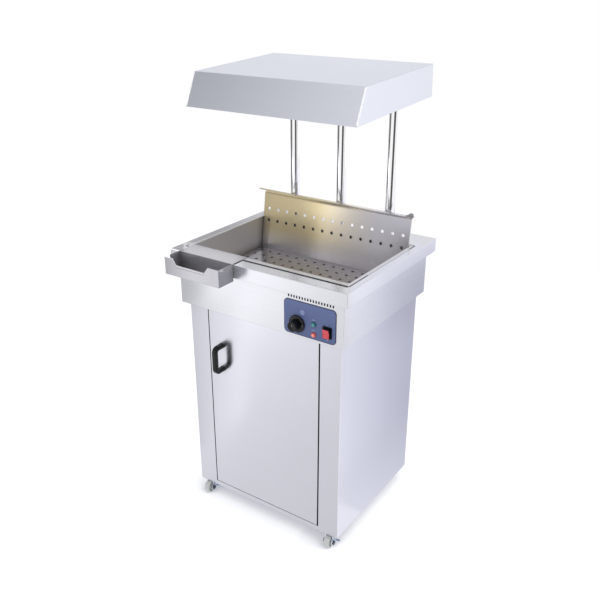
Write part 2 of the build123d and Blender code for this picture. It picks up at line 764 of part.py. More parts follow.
# Thermostat: body with its bush, turning spindle, knob, and the probe on the pan's front wall
thermostat_back = head_inside + THERMOSTAT_DEPTH
with BuildPart() as thermostat_body:
    block(around(knob_x, THERMOSTAT_SIZE), (head_inside, thermostat_back), around(knob_z, THERMOSTAT_SIZE))
    rod((knob_x, head_inside, knob_z), (0, -1, 0), BUSH_DIAMETER, SHEET + PANEL_THICK)
    rod(
        (knob_x, panel_face, knob_z),
        (0, 1, 0),
        SPINDLE_DIAMETER + 2 * SPINDLE_CLEARANCE,
        PANEL_THICK + SHEET + SPINDLE_IN_BODY + SPINDLE_END_GAP,
        mode=Mode.SUBTRACT,
    )
save(thermostat_body, "thermostat_body")

with BuildPart() as thermostat_spindle:
    rod(
        (knob_x, head_inside + SPINDLE_IN_BODY, knob_z),
        (0, -1, 0),
        SPINDLE_DIAMETER,
        SPINDLE_IN_BODY + SHEET + PANEL_THICK + KNOB_GAP + SPINDLE_IN_KNOB,
    )
save(thermostat_spindle, "thermostat_spindle")

knob_back = panel_face - KNOB_GAP
knob_shelf = knob_back - KNOB_SKIRT_HEIGHT
knob_tip = knob_shelf - KNOB_GRIP_HEIGHT
with BuildPart() as thermostat_knob:
    rod((knob_x, knob_back, knob_z), (0, -1, 0), KNOB_SKIRT_DIAMETER, KNOB_SKIRT_HEIGHT)
    rod((knob_x, knob_shelf, knob_z), (0, -1, 0), KNOB_GRIP_DIAMETER, KNOB_GRIP_HEIGHT)
    fillet(thermostat_knob.faces().sort_by(Axis.Y)[0].edges(), KNOB_ROUND)
    block(
        around(knob_x, POINTER_WIDTH),
        (knob_tip - POINTER_HEIGHT, knob_tip),
        (knob_z, knob_z + KNOB_GRIP_DIAMETER / 2 - KNOB_ROUND),
    )
    rod((knob_x, knob_back, knob_z), (0, -1, 0), SPINDLE_DIAMETER, SPINDLE_IN_KNOB, mode=Mode.SUBTRACT)
save(thermostat_knob, "thermostat_knob")

probe_y = well_front - SHEET - PROBE_DIAMETER / 2
probe_z = pan_floor + PROBE_RISE
probe_end = knob_x - THERMOSTAT_SIZE / 2
capillary_z = knob_z + THERMOSTAT_SIZE / 4
with BuildPart() as thermostat_probe:
    rod((probe_end, probe_y, probe_z), (-1, 0, 0), PROBE_DIAMETER, PROBE_LENGTH)
    bent_rod(
        [
            (knob_x, thermostat_back, capillary_z),
            (knob_x, probe_y, capillary_z),
            (knob_x, probe_y, probe_z),
            (probe_end, probe_y, probe_z),
        ],
        CAPILLARY_DIAMETER,
        CAPILLARY_BEND,
    )
save(thermostat_probe, "thermostat_probe")

# Indicator lenses
for name, (x, z) in lens_places.items():
    with BuildPart() as indicator:
        rod((x, panel_face - LENS_FLANGE_THICK, z), (0, -1, 0), LENS_DIAMETER, LENS_HEIGHT)
        fillet(indicator.faces().sort_by(Axis.Y)[0].edges(), LENS_ROUND)
        rod((x, panel_face, z), (0, -1, 0), LENS_FLANGE, LENS_FLANGE_THICK)
        rod((x, panel_face, z), (0, 1, 0), LENS_BODY, LENS_BODY_LENGTH)
    save(indicator, name)

# Rocker switch: housing, and a button that rests tilted in its off position
cavity_half = ROCKER_BODY_WIDTH / 2 - ROCKER_WALL
bezel_front = panel_face - BEZEL_THICK
rocker_back = panel_face + ROCKER_BODY_DEPTH
pivot_hole = cavity_half + PIVOT_IN_WALL + PIVOT_END_GAP
with BuildPart() as rocker_housing:
    with BuildSketch(facing_front(panel_face)):
        with Locations((rocker_x, rocker_z)):
            RectangleRounded(BEZEL_WIDTH, BEZEL_HEIGHT, BEZEL_CORNER)
    extrude(amount=BEZEL_THICK)
    block(
        around(rocker_x, ROCKER_BODY_WIDTH),
        (panel_face, rocker_back),
        around(rocker_z, ROCKER_BODY_HEIGHT),
    )
    block(
        around(rocker_x, 2 * cavity_half),
        (bezel_front, panel_face + ROCKER_CAVITY),
        around(rocker_z, ROCKER_BODY_HEIGHT - 2 * ROCKER_END_WALL),
        mode=Mode.SUBTRACT,
    )
    rod(
        (rocker_x - pivot_hole, panel_face, rocker_z),
        (1, 0, 0),
        PIVOT_DIAMETER + 2 * PIVOT_CLEARANCE,
        2 * pivot_hole,
        mode=Mode.SUBTRACT,
    )
save(rocker_housing, "rocker_housing")

rocker_angle = radians(ROCKER_TILT)
button_half = cavity_half - ROCKER_CLEARANCE
button_end = ROCKER_BODY_HEIGHT / 2 - ROCKER_END_WALL - ROCKER_END_CLEARANCE
button_edge = ROCKER_FACE + button_end * tan(rocker_angle)
button_side = Plane(
    origin=(rocker_x - button_half, panel_face, rocker_z),
    x_dir=(0, -cos(rocker_angle), -sin(rocker_angle)),
    z_dir=(1, 0, 0),
)
pivot_half = cavity_half + PIVOT_IN_WALL
with BuildPart() as rocker_button:
    with BuildSketch(button_side):
        Polygon(
            (-ROCKER_BACK, -button_end),
            (button_edge, -button_end),
            (ROCKER_FACE, 0),
            (button_edge, button_end),
            (-ROCKER_BACK, button_end),
            align=None,
        )
    extrude(amount=2 * button_half)
    rod((rocker_x - pivot_half, panel_face, rocker_z), (1, 0, 0), PIVOT_DIAMETER, 2 * pivot_half)
save(rocker_button, "rocker_button")

# Heating element, a serpentine against the pan's underside with both ends at the front
element_z = pan_under - ELEMENT_DIAMETER / 2
element_front = well_front + ELEMENT_TAIL
element_back = element_front + ELEMENT_LENGTH
element_right = knob_x + THERMOSTAT_SIZE / 3
element_left = element_right - (ELEMENT_RUNS - 1) * ELEMENT_PITCH
element_ends = well_front + ELEMENT_DIAMETER
element_points = [(element_right, element_ends, element_z)]
for run in range(ELEMENT_RUNS):
    run_x = element_right - run * ELEMENT_PITCH
    run_ends = (element_front, element_back) if run % 2 == 0 else (element_back, element_front)
    element_points += [(run_x, y, element_z) for y in run_ends]
element_points[1] = (element_right, element_back, element_z)
del element_points[2]
element_points[-1] = (element_left, element_ends, element_z)
with BuildPart() as heating_element:
    bent_rod(element_points, ELEMENT_DIAMETER, 0.48 * ELEMENT_PITCH)
save(heating_element, "heating_element")

# Terminal block under the right post, and the cable gland in the head's back wall
terminal_top = head_deck + TERMINAL_HEIGHT
with BuildPart() as terminal_block:
    block(
        around(POST_SPACING, TERMINAL_WIDTH),
        around(post_y, TERMINAL_DEPTH),
        (head_deck, terminal_top),
    )
save(terminal_block, "terminal_block")

gland_inside = head_back - SHEET - GLAND_NUT
gland_out = head_back + GLAND_BODY
gland_length = GLAND_NUT + SHEET + GLAND_BODY + GLAND_DOME
with BuildPart() as cable_gland:
    with BuildSketch(facing_front(head_back - SHEET)):
        with Locations((POST_SPACING, gland_z)):
            RegularPolygon(GLAND_HEX / 2, 6, major_radius=False)
    extrude(amount=GLAND_NUT)
    rod((POST_SPACING, gland_inside, gland_z), (0, 1, 0), GLAND_THREAD, gland_length)
    with BuildSketch(facing_front(gland_out)):
        with Locations((POST_SPACING, gland_z)):
            RegularPolygon(GLAND_HEX / 2, 6, major_radius=False)
    extrude(amount=GLAND_BODY)
    rod((POST_SPACING, gland_inside, gland_z), (0, 1, 0), GLAND_BORE, gland_length, mode=Mode.SUBTRACT)
save(cable_gland, "cable_gland")

# Wiring: the lamp cable up the right post, the link between the sockets, and the control wires
socket_middle = socket_low + SOCKET_HEIGHT / 2
socket_behind = -LAMP_FROM_HOOD_BACK + SOCKET_DIAMETER / 2
cable_rise = bracket_top + 2 * CABLE_BEND
terminal_front = post_y - TERMINAL_DEPTH / 2
terminal_middle = head_deck + TERMINAL_HEIGHT / 2
link_half = LAMP_SPACING - SOCKET_DIAMETER / 2
link_start = hood_frame.from_local_coords((-link_half, -LAMP_FROM_HOOD_BACK, socket_middle))
with BuildPart() as wiring_loom:
    bent_rod(
        [
            (POST_SPACING, post_y, terminal_top),
            (POST_SPACING, post_y, cable_rise),
            hood_frame.from_local_coords((LAMP_SPACING, socket_behind + 3 * CABLE_BEND, socket_middle)),
            hood_frame.from_local_coords((LAMP_SPACING, socket_behind, socket_middle)),
        ],
        CABLE_DIAMETER,
        CABLE_BEND,
    )
    rod(link_start, (1, 0, 0), WIRE_DIAMETER, 2 * link_half)
    bent_rod(
        [
            (POST_SPACING, terminal_front, terminal_middle),
            (POST_SPACING, middle((well_front, well_back)), terminal_middle),
            (rocker_x, rocker_back + 5 * WIRE_BEND, rocker_z),
            (rocker_x, rocker_back, rocker_z),
        ],
        WIRE_DIAMETER,
        WIRE_BEND,
    )
    rod((element_right, thermostat_back, element_z), (0, 1, 0), WIRE_DIAMETER, element_ends - thermostat_back)
    bent_rod(
        [
            (element_left, element_ends, element_z),
            (element_left, middle((head_inside, thermostat_back)), element_z),
            (knob_x - THERMOSTAT_SIZE / 2, middle((head_inside, thermostat_back)), element_z),
        ],
        WIRE_DIAMETER,
        WIRE_BEND,
    )
save(wiring_loom, "wiring_loom")

# Door: a folded skin that is closed at the back by a liner
door_span = (-opening_half + DOOR_GAP, opening_half - DOOR_HINGE_GAP)
door_height = (floor_top + DOOR_GAP, head_bottom - DOOR_TOP_GAP)
door_back = cabinet_front + DOOR_DEPTH
hinge_x = door_span[1] - HINGE_FROM_EDGE
hinge_y = cabinet_front + DOOR_DEPTH / 2
handle_x = door_span[0] + HANDLE_FROM_EDGE
handle_z = door_height[1] - HANDLE_FROM_TOP
screw_places = [(handle_x, handle_z + side * (HANDLE_HEIGHT - HANDLE_LEG) / 2) for side in (-1, 1)]
liner_span = (door_span[0] + SHEET, door_span[1] - SHEET)
liner_height = (door_height[0] + SHEET, door_height[1] - SHEET)
with BuildPart() as door_panel:
    block(door_span, (cabinet_front, door_back), door_height)
    fillet(door_panel.edges().filter_by(Axis.Z).group_by(Axis.Y)[0], BEND)
    block(liner_span, (cabinet_front + SHEET, door_back), liner_height, mode=Mode.SUBTRACT)
    rod(
        (hinge_x, hinge_y, door_height[0]),
        (0, 0, 1),
        HINGE_DIAMETER + 2 * HINGE_CLEARANCE,
        size(door_height),
        mode=Mode.SUBTRACT,
    )
    with BuildSketch(facing_front(cabinet_front + SHEET)):
        with Locations(*screw_places):
            Circle(SCREW_DIAMETER / 2)
    extrude(amount=SHEET, mode=Mode.SUBTRACT)
save(door_panel, "door_panel")

with BuildPart() as door_liner:
    block(liner_span, (door_back - SHEET, door_back), liner_height)
save(door_liner, "door_liner")

# Door handle and its two screws, which come through the skin from behind
handle_side = Plane(
    origin=(handle_x - HANDLE_WIDTH / 2, cabinet_front, handle_z), x_dir=(0, -1, 0), z_dir=(1, 0, 0)
)
finger_gap = HANDLE_STANDOFF - HANDLE_BAR
with BuildPart() as door_handle:
    with BuildSketch(handle_side) as handle_outline:
        with Locations((HANDLE_STANDOFF / 2, 0)):
            Rectangle(HANDLE_STANDOFF, HANDLE_HEIGHT)
        fillet(handle_outline.vertices().group_by(Axis.X)[-1], HANDLE_CORNER)
        with Locations((finger_gap / 2, 0)):
            Rectangle(finger_gap, HANDLE_HEIGHT - 2 * HANDLE_LEG, mode=Mode.SUBTRACT)
    extrude(amount=HANDLE_WIDTH)
    inner_corners = door_handle.edges().filter_by(Axis.X).filter_by(
        lambda e: abs(e.center().Y - cabinet_front + finger_gap) < SHEET / 10
    )
    fillet(inner_corners, HANDLE_INNER_CORNER)
    fillet(door_handle.faces().sort_by(Axis.Y)[0].edges().filter_by(Axis.Z), HANDLE_EDGE)
    for x, z in screw_places:
        rod((x, cabinet_front, z), (0, -1, 0), SCREW_DIAMETER, SCREW_IN_HANDLE, mode=Mode.SUBTRACT)
save(door_handle, "door_handle")

with BuildPart() as handle_screws:
    for x, z in screw_places:
        rod((x, cabinet_front + SHEET, z), (0, -1, 0), SCREW_DIAMETER, SHEET + SCREW_IN_HANDLE)
        rod((x, cabinet_front + SHEET, z), (0, 1, 0), SCREW_HEAD_DIAMETER, SCREW_HEAD_HEIGHT)
save(handle_screws, "handle_screws")

# Hinge pins: the lower one stands on the cabinet floor, the upper one hangs from the head floor
with BuildPart() as lower_hinge_pin:
    rod((hinge_x, hinge_y, floor_top), (0, 0, 1), HINGE_FLANGE, DOOR_GAP - HINGE_END_GAP)
    rod((hinge_x, hinge_y, floor_top), (0, 0, 1), HINGE_DIAMETER, HINGE_LENGTH)
save(lower_hinge_pin, "lower_hinge_pin")

with BuildPart() as upper_hinge_pin:
    rod((hinge_x, hinge_y, head_bottom), (0, 0, -1), HINGE_FLANGE, DOOR_TOP_GAP - HINGE_END_GAP)
    rod((hinge_x, hinge_y, head_bottom), (0, 0, -1), HINGE_DIAMETER, HINGE_LENGTH)
save(upper_hinge_pin, "upper_hinge_pin")

# Magnetic catch on the left stile's return, and its strike on the liner
strike_back = door_back + STRIKE_THICK
catch_front = strike_back + CATCH_GAP
catch_height = around(door_height[1] - CATCH_FROM_TOP, CATCH_HEIGHT)
with BuildPart() as door_catch:
    block(
        (-opening_half, -opening_half + CATCH_WIDTH),
        (catch_front, catch_front + CATCH_DEPTH),
        catch_height,
    )
save(door_catch, "door_catch")

with BuildPart() as catch_strike:
    strike_left = liner_span[0] + STRIKE_INSET
    block((strike_left, strike_left + CATCH_WIDTH), (door_back, strike_back), catch_height)
save(catch_strike, "catch_strike")

# Castors: the front wheels trail to the front and the rear ones inwards
castor_turns = {
    "front_left": CASTOR_FRONT_TURN,
    "front_right": CASTOR_FRONT_TURN,
    "rear_left": CASTOR_REAR_TURN,
    "rear_right": -CASTOR_REAR_TURN,
}
wheel_radius = WHEEL_DIAMETER / 2
plate_low = CASTOR_HEIGHT - PLATE_THICK
race_low = plate_low - RACE_HEIGHT
fork_top = race_low - SWIVEL_GAP
fork_low = fork_top - FORK_THICK
king_head_top = fork_low - SWIVEL_GAP
leg_inner = WHEEL_WIDTH / 2 + WHEEL_SIDE_GAP
leg_outer = leg_inner + FORK_THICK


def castor_frame(corner):
    """A castor's own axes: X along the axle, Y against the trail and Z up, with the floor at zero."""
    turn = radians(castor_turns[corner])
    return Plane(origin=(*castor_places[corner], 0), x_dir=(cos(turn), sin(turn), 0), z_dir=(0, 0, 1))


def across_axle(frame, x):
    """The upright plane square to the axle at x, with its own X to the back and its Y up."""
    return Plane(origin=frame.from_local_coords((x, 0, 0)), x_dir=frame.y_dir, z_dir=frame.x_dir)


for corner, place in castor_places.items():
    frame = castor_frame(corner)
    braked = corner.startswith("front")
    axle_right = leg_outer + (BRAKE_THICK + 2 * BRAKE_GAP if braked else 0)

    with BuildPart() as castor_plate:
        with BuildSketch(Plane.XY.offset(plate_low)):
            with Locations(place):
                RectangleRounded(PLATE_WIDTH, PLATE_DEPTH, PLATE_CORNER)
                with GridLocations(PLATE_HOLES_X, PLATE_HOLES_Y, 2, 2):
                    Circle(BOLT_DIAMETER / 2 + BOLT_CLEARANCE, mode=Mode.SUBTRACT)
        extrude(amount=PLATE_THICK)
        rod((*place, race_low), (0, 0, 1), RACE_DIAMETER, RACE_HEIGHT)
        rod((*place, race_low), (0, 0, -1), KING_PIN_DIAMETER, race_low - king_head_top)
        rod((*place, king_head_top), (0, 0, -1), KING_HEAD_DIAMETER, KING_HEAD_HEIGHT)
    save(castor_plate, f"castor_plate_{corner}")

    with BuildPart() as castor_fork:
        with BuildSketch(frame.offset(fork_low)):
            Rectangle(2 * leg_outer, FORK_LENGTH)
        extrude(amount=FORK_THICK)
        for leg_start in (-leg_outer, leg_inner):
            with BuildSketch(across_axle(frame, leg_start)):
                with Locations((-CASTOR_TRAIL, wheel_radius)):
                    Circle(FORK_BOSS / 2)
                with Locations((0, middle((fork_low, fork_top)))):
                    Rectangle(FORK_LENGTH, FORK_THICK)
                make_hull()
            extrude(amount=FORK_THICK)
        king_hole = KING_PIN_DIAMETER + 2 * KING_PIN_CLEARANCE
        rod((*place, fork_low), (0, 0, 1), king_hole, FORK_THICK, mode=Mode.SUBTRACT)
        with BuildSketch(across_axle(frame, -leg_outer)):
            with Locations((-CASTOR_TRAIL, wheel_radius)):
                Circle(AXLE_DIAMETER / 2)
        extrude(amount=2 * leg_outer, mode=Mode.SUBTRACT)
    save(castor_fork, f"castor_fork_{corner}")

    with BuildPart() as castor_wheel:
        with BuildSketch(across_axle(frame, -WHEEL_WIDTH / 2)):
            with Locations((-CASTOR_TRAIL, wheel_radius)):
                Circle(wheel_radius)
        extrude(amount=WHEEL_WIDTH)
        fillet(castor_wheel.edges().filter_by(GeomType.CIRCLE), WHEEL_EDGE)
        for recess_start in (-WHEEL_WIDTH / 2, WHEEL_WIDTH / 2 - WHEEL_RECESS):
            with BuildSketch(across_axle(frame, recess_start)):
                with Locations((-CASTOR_TRAIL, wheel_radius)):
                    Circle(WHEEL_RIM / 2)
                    Circle(WHEEL_HUB / 2, mode=Mode.SUBTRACT)
            extrude(amount=WHEEL_RECESS, mode=Mode.SUBTRACT)
        with BuildSketch(across_axle(frame, -WHEEL_WIDTH / 2)):
            with Locations((-CASTOR_TRAIL, wheel_radius)):
                Circle(AXLE_DIAMETER / 2 + AXLE_CLEARANCE)
        extrude(amount=WHEEL_WIDTH, mode=Mode.SUBTRACT)
    save(castor_wheel, f"castor_wheel_{corner}")

    with BuildPart() as castor_axle:
        with BuildSketch(across_axle(frame, -leg_outer)):
            with Locations((-CASTOR_TRAIL, wheel_radius)):
                Circle(AXLE_DIAMETER / 2)
        extrude(amount=leg_outer + axle_right)
        for head_start in (-leg_outer - AXLE_HEAD_THICK, axle_right):
            with BuildSketch(across_axle(frame, head_start)):
                with Locations((-CASTOR_TRAIL, wheel_radius)):
                    RegularPolygon(AXLE_HEAD_DIAMETER / 2, 6)
            extrude(amount=AXLE_HEAD_THICK)
    save(castor_axle, f"castor_axle_{corner}")

    if braked:
        brake_y = -CASTOR_TRAIL + BRAKE_REACH
        brake_z = wheel_radius + BRAKE_RISE
        with BuildPart() as brake_lever:
            with BuildSketch(across_axle(frame, leg_outer + BRAKE_GAP)):
                with Locations((-CASTOR_TRAIL, wheel_radius)):
                    Circle(BRAKE_BOSS / 2)
                with Locations((brake_y, brake_z)):
                    Circle(BRAKE_TIP / 2)
                make_hull()
                with Locations((-CASTOR_TRAIL, wheel_radius)):
                    Circle(AXLE_DIAMETER / 2 + AXLE_CLEARANCE, mode=Mode.SUBTRACT)
            extrude(amount=BRAKE_THICK)
            with BuildSketch(across_axle(frame, leg_outer + BRAKE_GAP)):
                with Locations((brake_y, brake_z)):
                    Rectangle(BRAKE_TIP, BRAKE_THICK)
            extrude(amount=BRAKE_TAB)
        save(brake_lever, f"brake_lever_{corner}")

# Castor bolts with their nuts
bolt_low = plate_low - NUT_HEIGHT
with BuildPart() as castor_bolts:
    for x, y in bolt_places:
        rod((x, y, bolt_low), (0, 0, 1), BOLT_DIAMETER, floor_top - bolt_low)
        rod((x, y, floor_top), (0, 0, 1), BOLT_HEAD_DIAMETER, BOLT_HEAD_HEIGHT)
    with BuildSketch(Plane.XY.offset(bolt_low)):
        with Locations(*bolt_places):
            RegularPolygon(BOLT_HEAD_DIAMETER / 2, 6)
    extrude(amount=NUT_HEIGHT)
save(castor_bolts, "castor_bolts")
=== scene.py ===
"""The looks of the chip scuttle: materials, fine pieces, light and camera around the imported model.

Metres, in the model's own axes: +Z is up and the front faces -Y.
"""
import json
from math import cos, pi, radians, sin

import bmesh
import bpy
from mathutils import Matrix, Vector


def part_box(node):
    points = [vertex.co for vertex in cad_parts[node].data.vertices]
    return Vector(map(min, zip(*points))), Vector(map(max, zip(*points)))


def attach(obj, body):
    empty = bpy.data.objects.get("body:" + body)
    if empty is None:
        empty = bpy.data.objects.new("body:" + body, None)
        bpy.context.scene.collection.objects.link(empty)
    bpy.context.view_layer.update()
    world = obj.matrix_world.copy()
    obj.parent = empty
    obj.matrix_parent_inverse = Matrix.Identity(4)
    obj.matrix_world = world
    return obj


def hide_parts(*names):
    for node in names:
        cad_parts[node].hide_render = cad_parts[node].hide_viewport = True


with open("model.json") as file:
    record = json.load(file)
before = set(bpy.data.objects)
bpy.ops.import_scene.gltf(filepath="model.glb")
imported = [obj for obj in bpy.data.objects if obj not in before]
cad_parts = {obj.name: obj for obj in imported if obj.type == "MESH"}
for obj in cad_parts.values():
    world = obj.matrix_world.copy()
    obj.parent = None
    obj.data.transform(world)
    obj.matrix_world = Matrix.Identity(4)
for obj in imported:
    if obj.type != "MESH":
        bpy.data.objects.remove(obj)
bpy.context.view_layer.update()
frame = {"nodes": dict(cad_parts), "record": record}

nodes = frame["nodes"]
joints = {joint["name"]: joint for joint in frame["record"]["behaviour"]["joints"]}
scene = bpy.context.scene
scene.view_settings.view_transform = "Standard"
MM = 0.001

# Camera
CAMERA_PLACE = (1.1533, -1.6890, 1.5903)
CAMERA_AIM = (-0.5158, 0.7558, -0.4035)
CAMERA_LENS = 44.35
CAMERA_SENSOR = 36.0

camera_data = bpy.data.cameras.new("camera")
camera_data.lens = CAMERA_LENS
camera_data.sensor_width = CAMERA_SENSOR
camera = bpy.data.objects.new("camera", camera_data)
camera.location = CAMERA_PLACE
camera.rotation_euler = Vector(CAMERA_AIM).to_track_quat("-Z", "Y").to_euler()
scene.collection.objects.link(camera)
scene.camera = camera


# Small helpers for shader trees
EDGE_SAMPLES = 4


def linear(r, g, b):
    """A screen colour of 0 to 255 as the linear colour that a shader takes."""
    values = [v / 255 for v in (r, g, b)]
    return tuple(v / 12.92 if v <= 0.04045 else ((v + 0.055) / 1.055) ** 2.4 for v in values) + (1.0,)


def tint(colour, share):
    """A colour made lighter or darker by a share."""
    return tuple(min(1.0, v * share) for v in colour[:3]) + (1.0,)


def add_node(tree, kind, inputs=None, **settings):
    """A new shader node with its settings, and its inputs set or linked."""
    made = tree.nodes.new(kind)
    for name, value in settings.items():
        setattr(made, name, value)
    for name, value in (inputs or {}).items():
        if isinstance(value, bpy.types.NodeSocket):
            tree.links.new(value, made.inputs[name])
        else:
            made.inputs[name].default_value = value
    return made


def feed(tree, shader, name, value):
    """Link a value to one of a shader's inputs."""
    tree.links.new(value, shader.inputs[name])


def bare_material(name):
    """A material with nothing in its tree: the material and the tree."""
    made = bpy.data.materials.new(name)
    made.use_nodes = True
    made.node_tree.nodes.clear()
    return made, made.node_tree


def new_material(name):
    """A material with one Principled shader: the material, its tree and that shader."""
    made, tree = bare_material(name)
    shader = tree.nodes.new("ShaderNodeBsdfPrincipled")
    output = tree.nodes.new("ShaderNodeOutputMaterial")
    tree.links.new(shader.outputs["BSDF"], output.inputs["Surface"])
    return made, tree, shader


def place(tree):
    """The point on the piece, in the model's axes."""
    return add_node(tree, "ShaderNodeTexCoord").outputs["Object"]


def noise(tree, scale, detail=2.0, roughness=0.55):
    """Noise between 0 and 1, with its own number of waves per metre along each axis."""
    mapping = add_node(tree, "ShaderNodeMapping", {"Vector": place(tree), "Scale": scale})
    waves = mapping.outputs["Vector"]
    inputs = {"Vector": waves, "Scale": 1.0, "Detail": detail, "Roughness": roughness}
    return add_node(tree, "ShaderNodeTexNoise", inputs).outputs["Fac"]


def math_node(tree, operation, a, b=0.0):
    """The result of one sum."""
    return add_node(tree, "ShaderNodeMath", {0: a, 1: b}, operation=operation).outputs[0]


def span(tree, value, low, high, start=0.0, end=1.0):
    """A value from start to end, mapped to the range from low to high."""
    inputs = {"Value": value, "From Min": start, "From Max": end, "To Min": low, "To Max": high}
    return add_node(tree, "ShaderNodeMapRange", inputs).outputs["Result"]


def mix_value(tree, factor, a, b):
    """One number between a and b."""
    return add_node(tree, "ShaderNodeMix", {0: factor, 2: a, 3: b}, data_type="FLOAT").outputs[0]


def mix_colour(tree, factor, a, b):
    """One colour between a and b."""
    return add_node(tree, "ShaderNodeMix", {0: factor, 6: a, 7: b}, data_type="RGBA").outputs[2]


def shaded(tree, factor, colour, low, high):
    """A colour that varies between two shares of its lightness."""
    return mix_colour(tree, factor, tint(colour, low), tint(colour, high))


def soft_edge(tree, radius):
    """The surface's normal with its sharp edges rounded off."""
    return add_node(tree, "ShaderNodeBevel", {"Radius": radius}, samples=EDGE_SAMPLES).outputs["Normal"]


def relief(tree, shader, height, strength, depth, edge):
    """Bump from a height, on top of rounded edges."""
    normal = soft_edge(tree, edge)
    inputs = {"Strength": strength, "Distance": depth, "Height": height, "Normal": normal}
    feed(tree, shader, "Normal", add_node(tree, "ShaderNodeBump", inputs).outputs["Normal"])


# Materials: where noise mostly lies, and its detail and roughness for smooth clouds and for wear
NOISE_RANGE = (0.3, 0.7)
CLOUDY = (4.0, 0.6)
WORN = (4.0, 0.65)

# Brushed steel: the direction of its grain, and the grain's waves per metre, first on faces to the front
# or top and then on the sides
GRAIN = (1.0, 0.3, 0.0)
FINE_GRAIN = ((6, 900, 900), (900, 6, 900))
BROAD_GRAIN = ((0.8, 70, 70), (70, 20, 0.8))
BROAD_DETAIL = 3.0
SMEAR_WAVES = (4, 4, 3)
FINE_SHARE = 0.5
SMEAR_SHARE = 0.35
SIDEWAYS = 0.7
REARWARDS = 0.3
PAINTED_SHADE_SAMPLES = 8
STEEL_GLOSS = 0.02
STEEL_RELIEF = (0.03, 0.05 * MM, 0.8 * MM)


def brushed_steel(
    name, colour, roughness=0.30, stretch=0.75, streaks=0.014, painted_shade=None, lamp_pool=None, metallic=1.0
):
    """Brushed sheet with a level grain, which draws reflections out, and faint streaks and smears.

    A second colour, given with how far it reaches, is painted shade: ambient occlusion lays it into
    hollows, gaps and under overhangs. The lamp pool is painted warm light from the heat lamps: its
    colour, the span along X over which it comes in, and the heights over which it comes up. The painted
    light spares the faces that look to the rear.
    """
    made, tree, shader = new_material(name)
    normal = add_node(tree, "ShaderNodeNewGeometry").outputs["Normal"]
    drawn = add_node(tree, "ShaderNodeVectorMath", {0: normal, 1: GRAIN}, operation="CROSS_PRODUCT")
    feed(tree, shader, "Tangent", drawn.outputs["Vector"])
    shader.inputs["Anisotropic"].default_value = stretch
    parts = add_node(tree, "ShaderNodeSeparateXYZ", {"Vector": normal})
    across = math_node(tree, "ABSOLUTE", parts.outputs["X"])
    sideways = math_node(tree, "GREATER_THAN", across, SIDEWAYS)
    fine = mix_value(tree, sideways, *[noise(tree, waves) for waves in FINE_GRAIN])
    broad = mix_value(tree, sideways, *[noise(tree, waves, BROAD_DETAIL) for waves in BROAD_GRAIN])
    smear = noise(tree, SMEAR_WAVES, *CLOUDY)
    streak = mix_value(tree, FINE_SHARE, broad, fine)
    tone = span(tree, mix_value(tree, SMEAR_SHARE, streak, smear), 0.0, 1.0, *NOISE_RANGE)
    shades = shaded(tree, tone, colour, 1 - streaks, 1 + streaks)
    # Painted light: the warm light of the heat lamps laid into the colour, over a span along X and a
    # band of heights.
    if lamp_pool:
        lamp_pool_colour, along, up = lamp_pool
        spot = add_node(tree, "ShaderNodeSeparateXYZ", {"Vector": place(tree)})
        lamp_pool_share = span(tree, spot.outputs["X"], 0.0, 1.0, *along)
        lamp_pool_share = math_node(tree, "MULTIPLY", lamp_pool_share, span(tree, spot.outputs["Z"], 0.0, 1.0, *up))
        spared = math_node(tree, "LESS_THAN", parts.outputs["Y"], REARWARDS)
        lamp_pool_share = math_node(tree, "MULTIPLY", lamp_pool_share, spared)
        shades = mix_colour(tree, lamp_pool_share, shades, lamp_pool_colour)
    # Painted shade: ambient occlusion lays the dark colour into hollows, gaps and under overhangs.
    if painted_shade:
        painted_shade_colour, reach = painted_shade
        hollow = add_node(tree, "ShaderNodeAmbientOcclusion", {"Distance": reach}, samples=PAINTED_SHADE_SAMPLES)
        shades = mix_colour(tree, hollow.outputs["AO"], painted_shade_colour, shades)
    feed(tree, shader, "Base Color", shades)
    gloss = (roughness - STEEL_GLOSS, roughness + STEEL_GLOSS)
    feed(tree, shader, "Roughness", span(tree, fine, *gloss, *NOISE_RANGE))
    relief(tree, shader, fine, *STEEL_RELIEF)
    shader.inputs["Metallic"].default_value = metallic
    return made


PLATED_WAVES = (40, 40, 12)
PLATED_SHADES = (0.92, 1.06)
PLATED_GLOSS = (0.7, 1.4)
PLATED_EDGE = 0.4 * MM


def plated(name, colour, roughness):
    """Plated metal: nearly clean, with faint cloudy marks."""
    made, tree, shader = new_material(name)
    cloud = noise(tree, PLATED_WAVES, *CLOUDY)
    feed(tree, shader, "Base Color", shaded(tree, cloud, colour, *PLATED_SHADES))
    gloss = [roughness * share for share in PLATED_GLOSS]
    feed(tree, shader, "Roughness", span(tree, cloud, *gloss, *NOISE_RANGE))
    feed(tree, shader, "Normal", soft_edge(tree, PLATED_EDGE))
    shader.inputs["Metallic"].default_value = 1.0
    return made


WEAR_WAVES = (60, 60, 60)
MOULDED_SHADES = (0.86, 1.14)
MOULDED_GLOSS = (-0.06, 0.10)
MOULDED_RELIEF = (0.3, 0.02 * MM, 0.4 * MM)


def moulded(name, colour, roughness, grain=900.0, coat=0.0, shine=0.5):
    """Moulded plastic: a fine grain, and a little wear in its gloss."""
    made, tree, shader = new_material(name)
    wear = noise(tree, WEAR_WAVES, *WORN)
    feed(tree, shader, "Base Color", shaded(tree, wear, colour, *MOULDED_SHADES))
    gloss = [roughness + change for change in MOULDED_GLOSS]
    feed(tree, shader, "Roughness", span(tree, wear, *gloss, *NOISE_RANGE))
    relief(tree, shader, noise(tree, (grain, grain, grain)), *MOULDED_RELIEF)
    shader.inputs["Coat Weight"].default_value = coat
    shader.inputs["Specular IOR Level"].default_value = shine
    return made


FACE_TURN = (-0.85, -0.6)
BUTTON_SHADES = (0.9, 1.1)
BUTTON_GLOSS = (-0.05, 0.08)
BUTTON_EDGE = 0.5 * MM


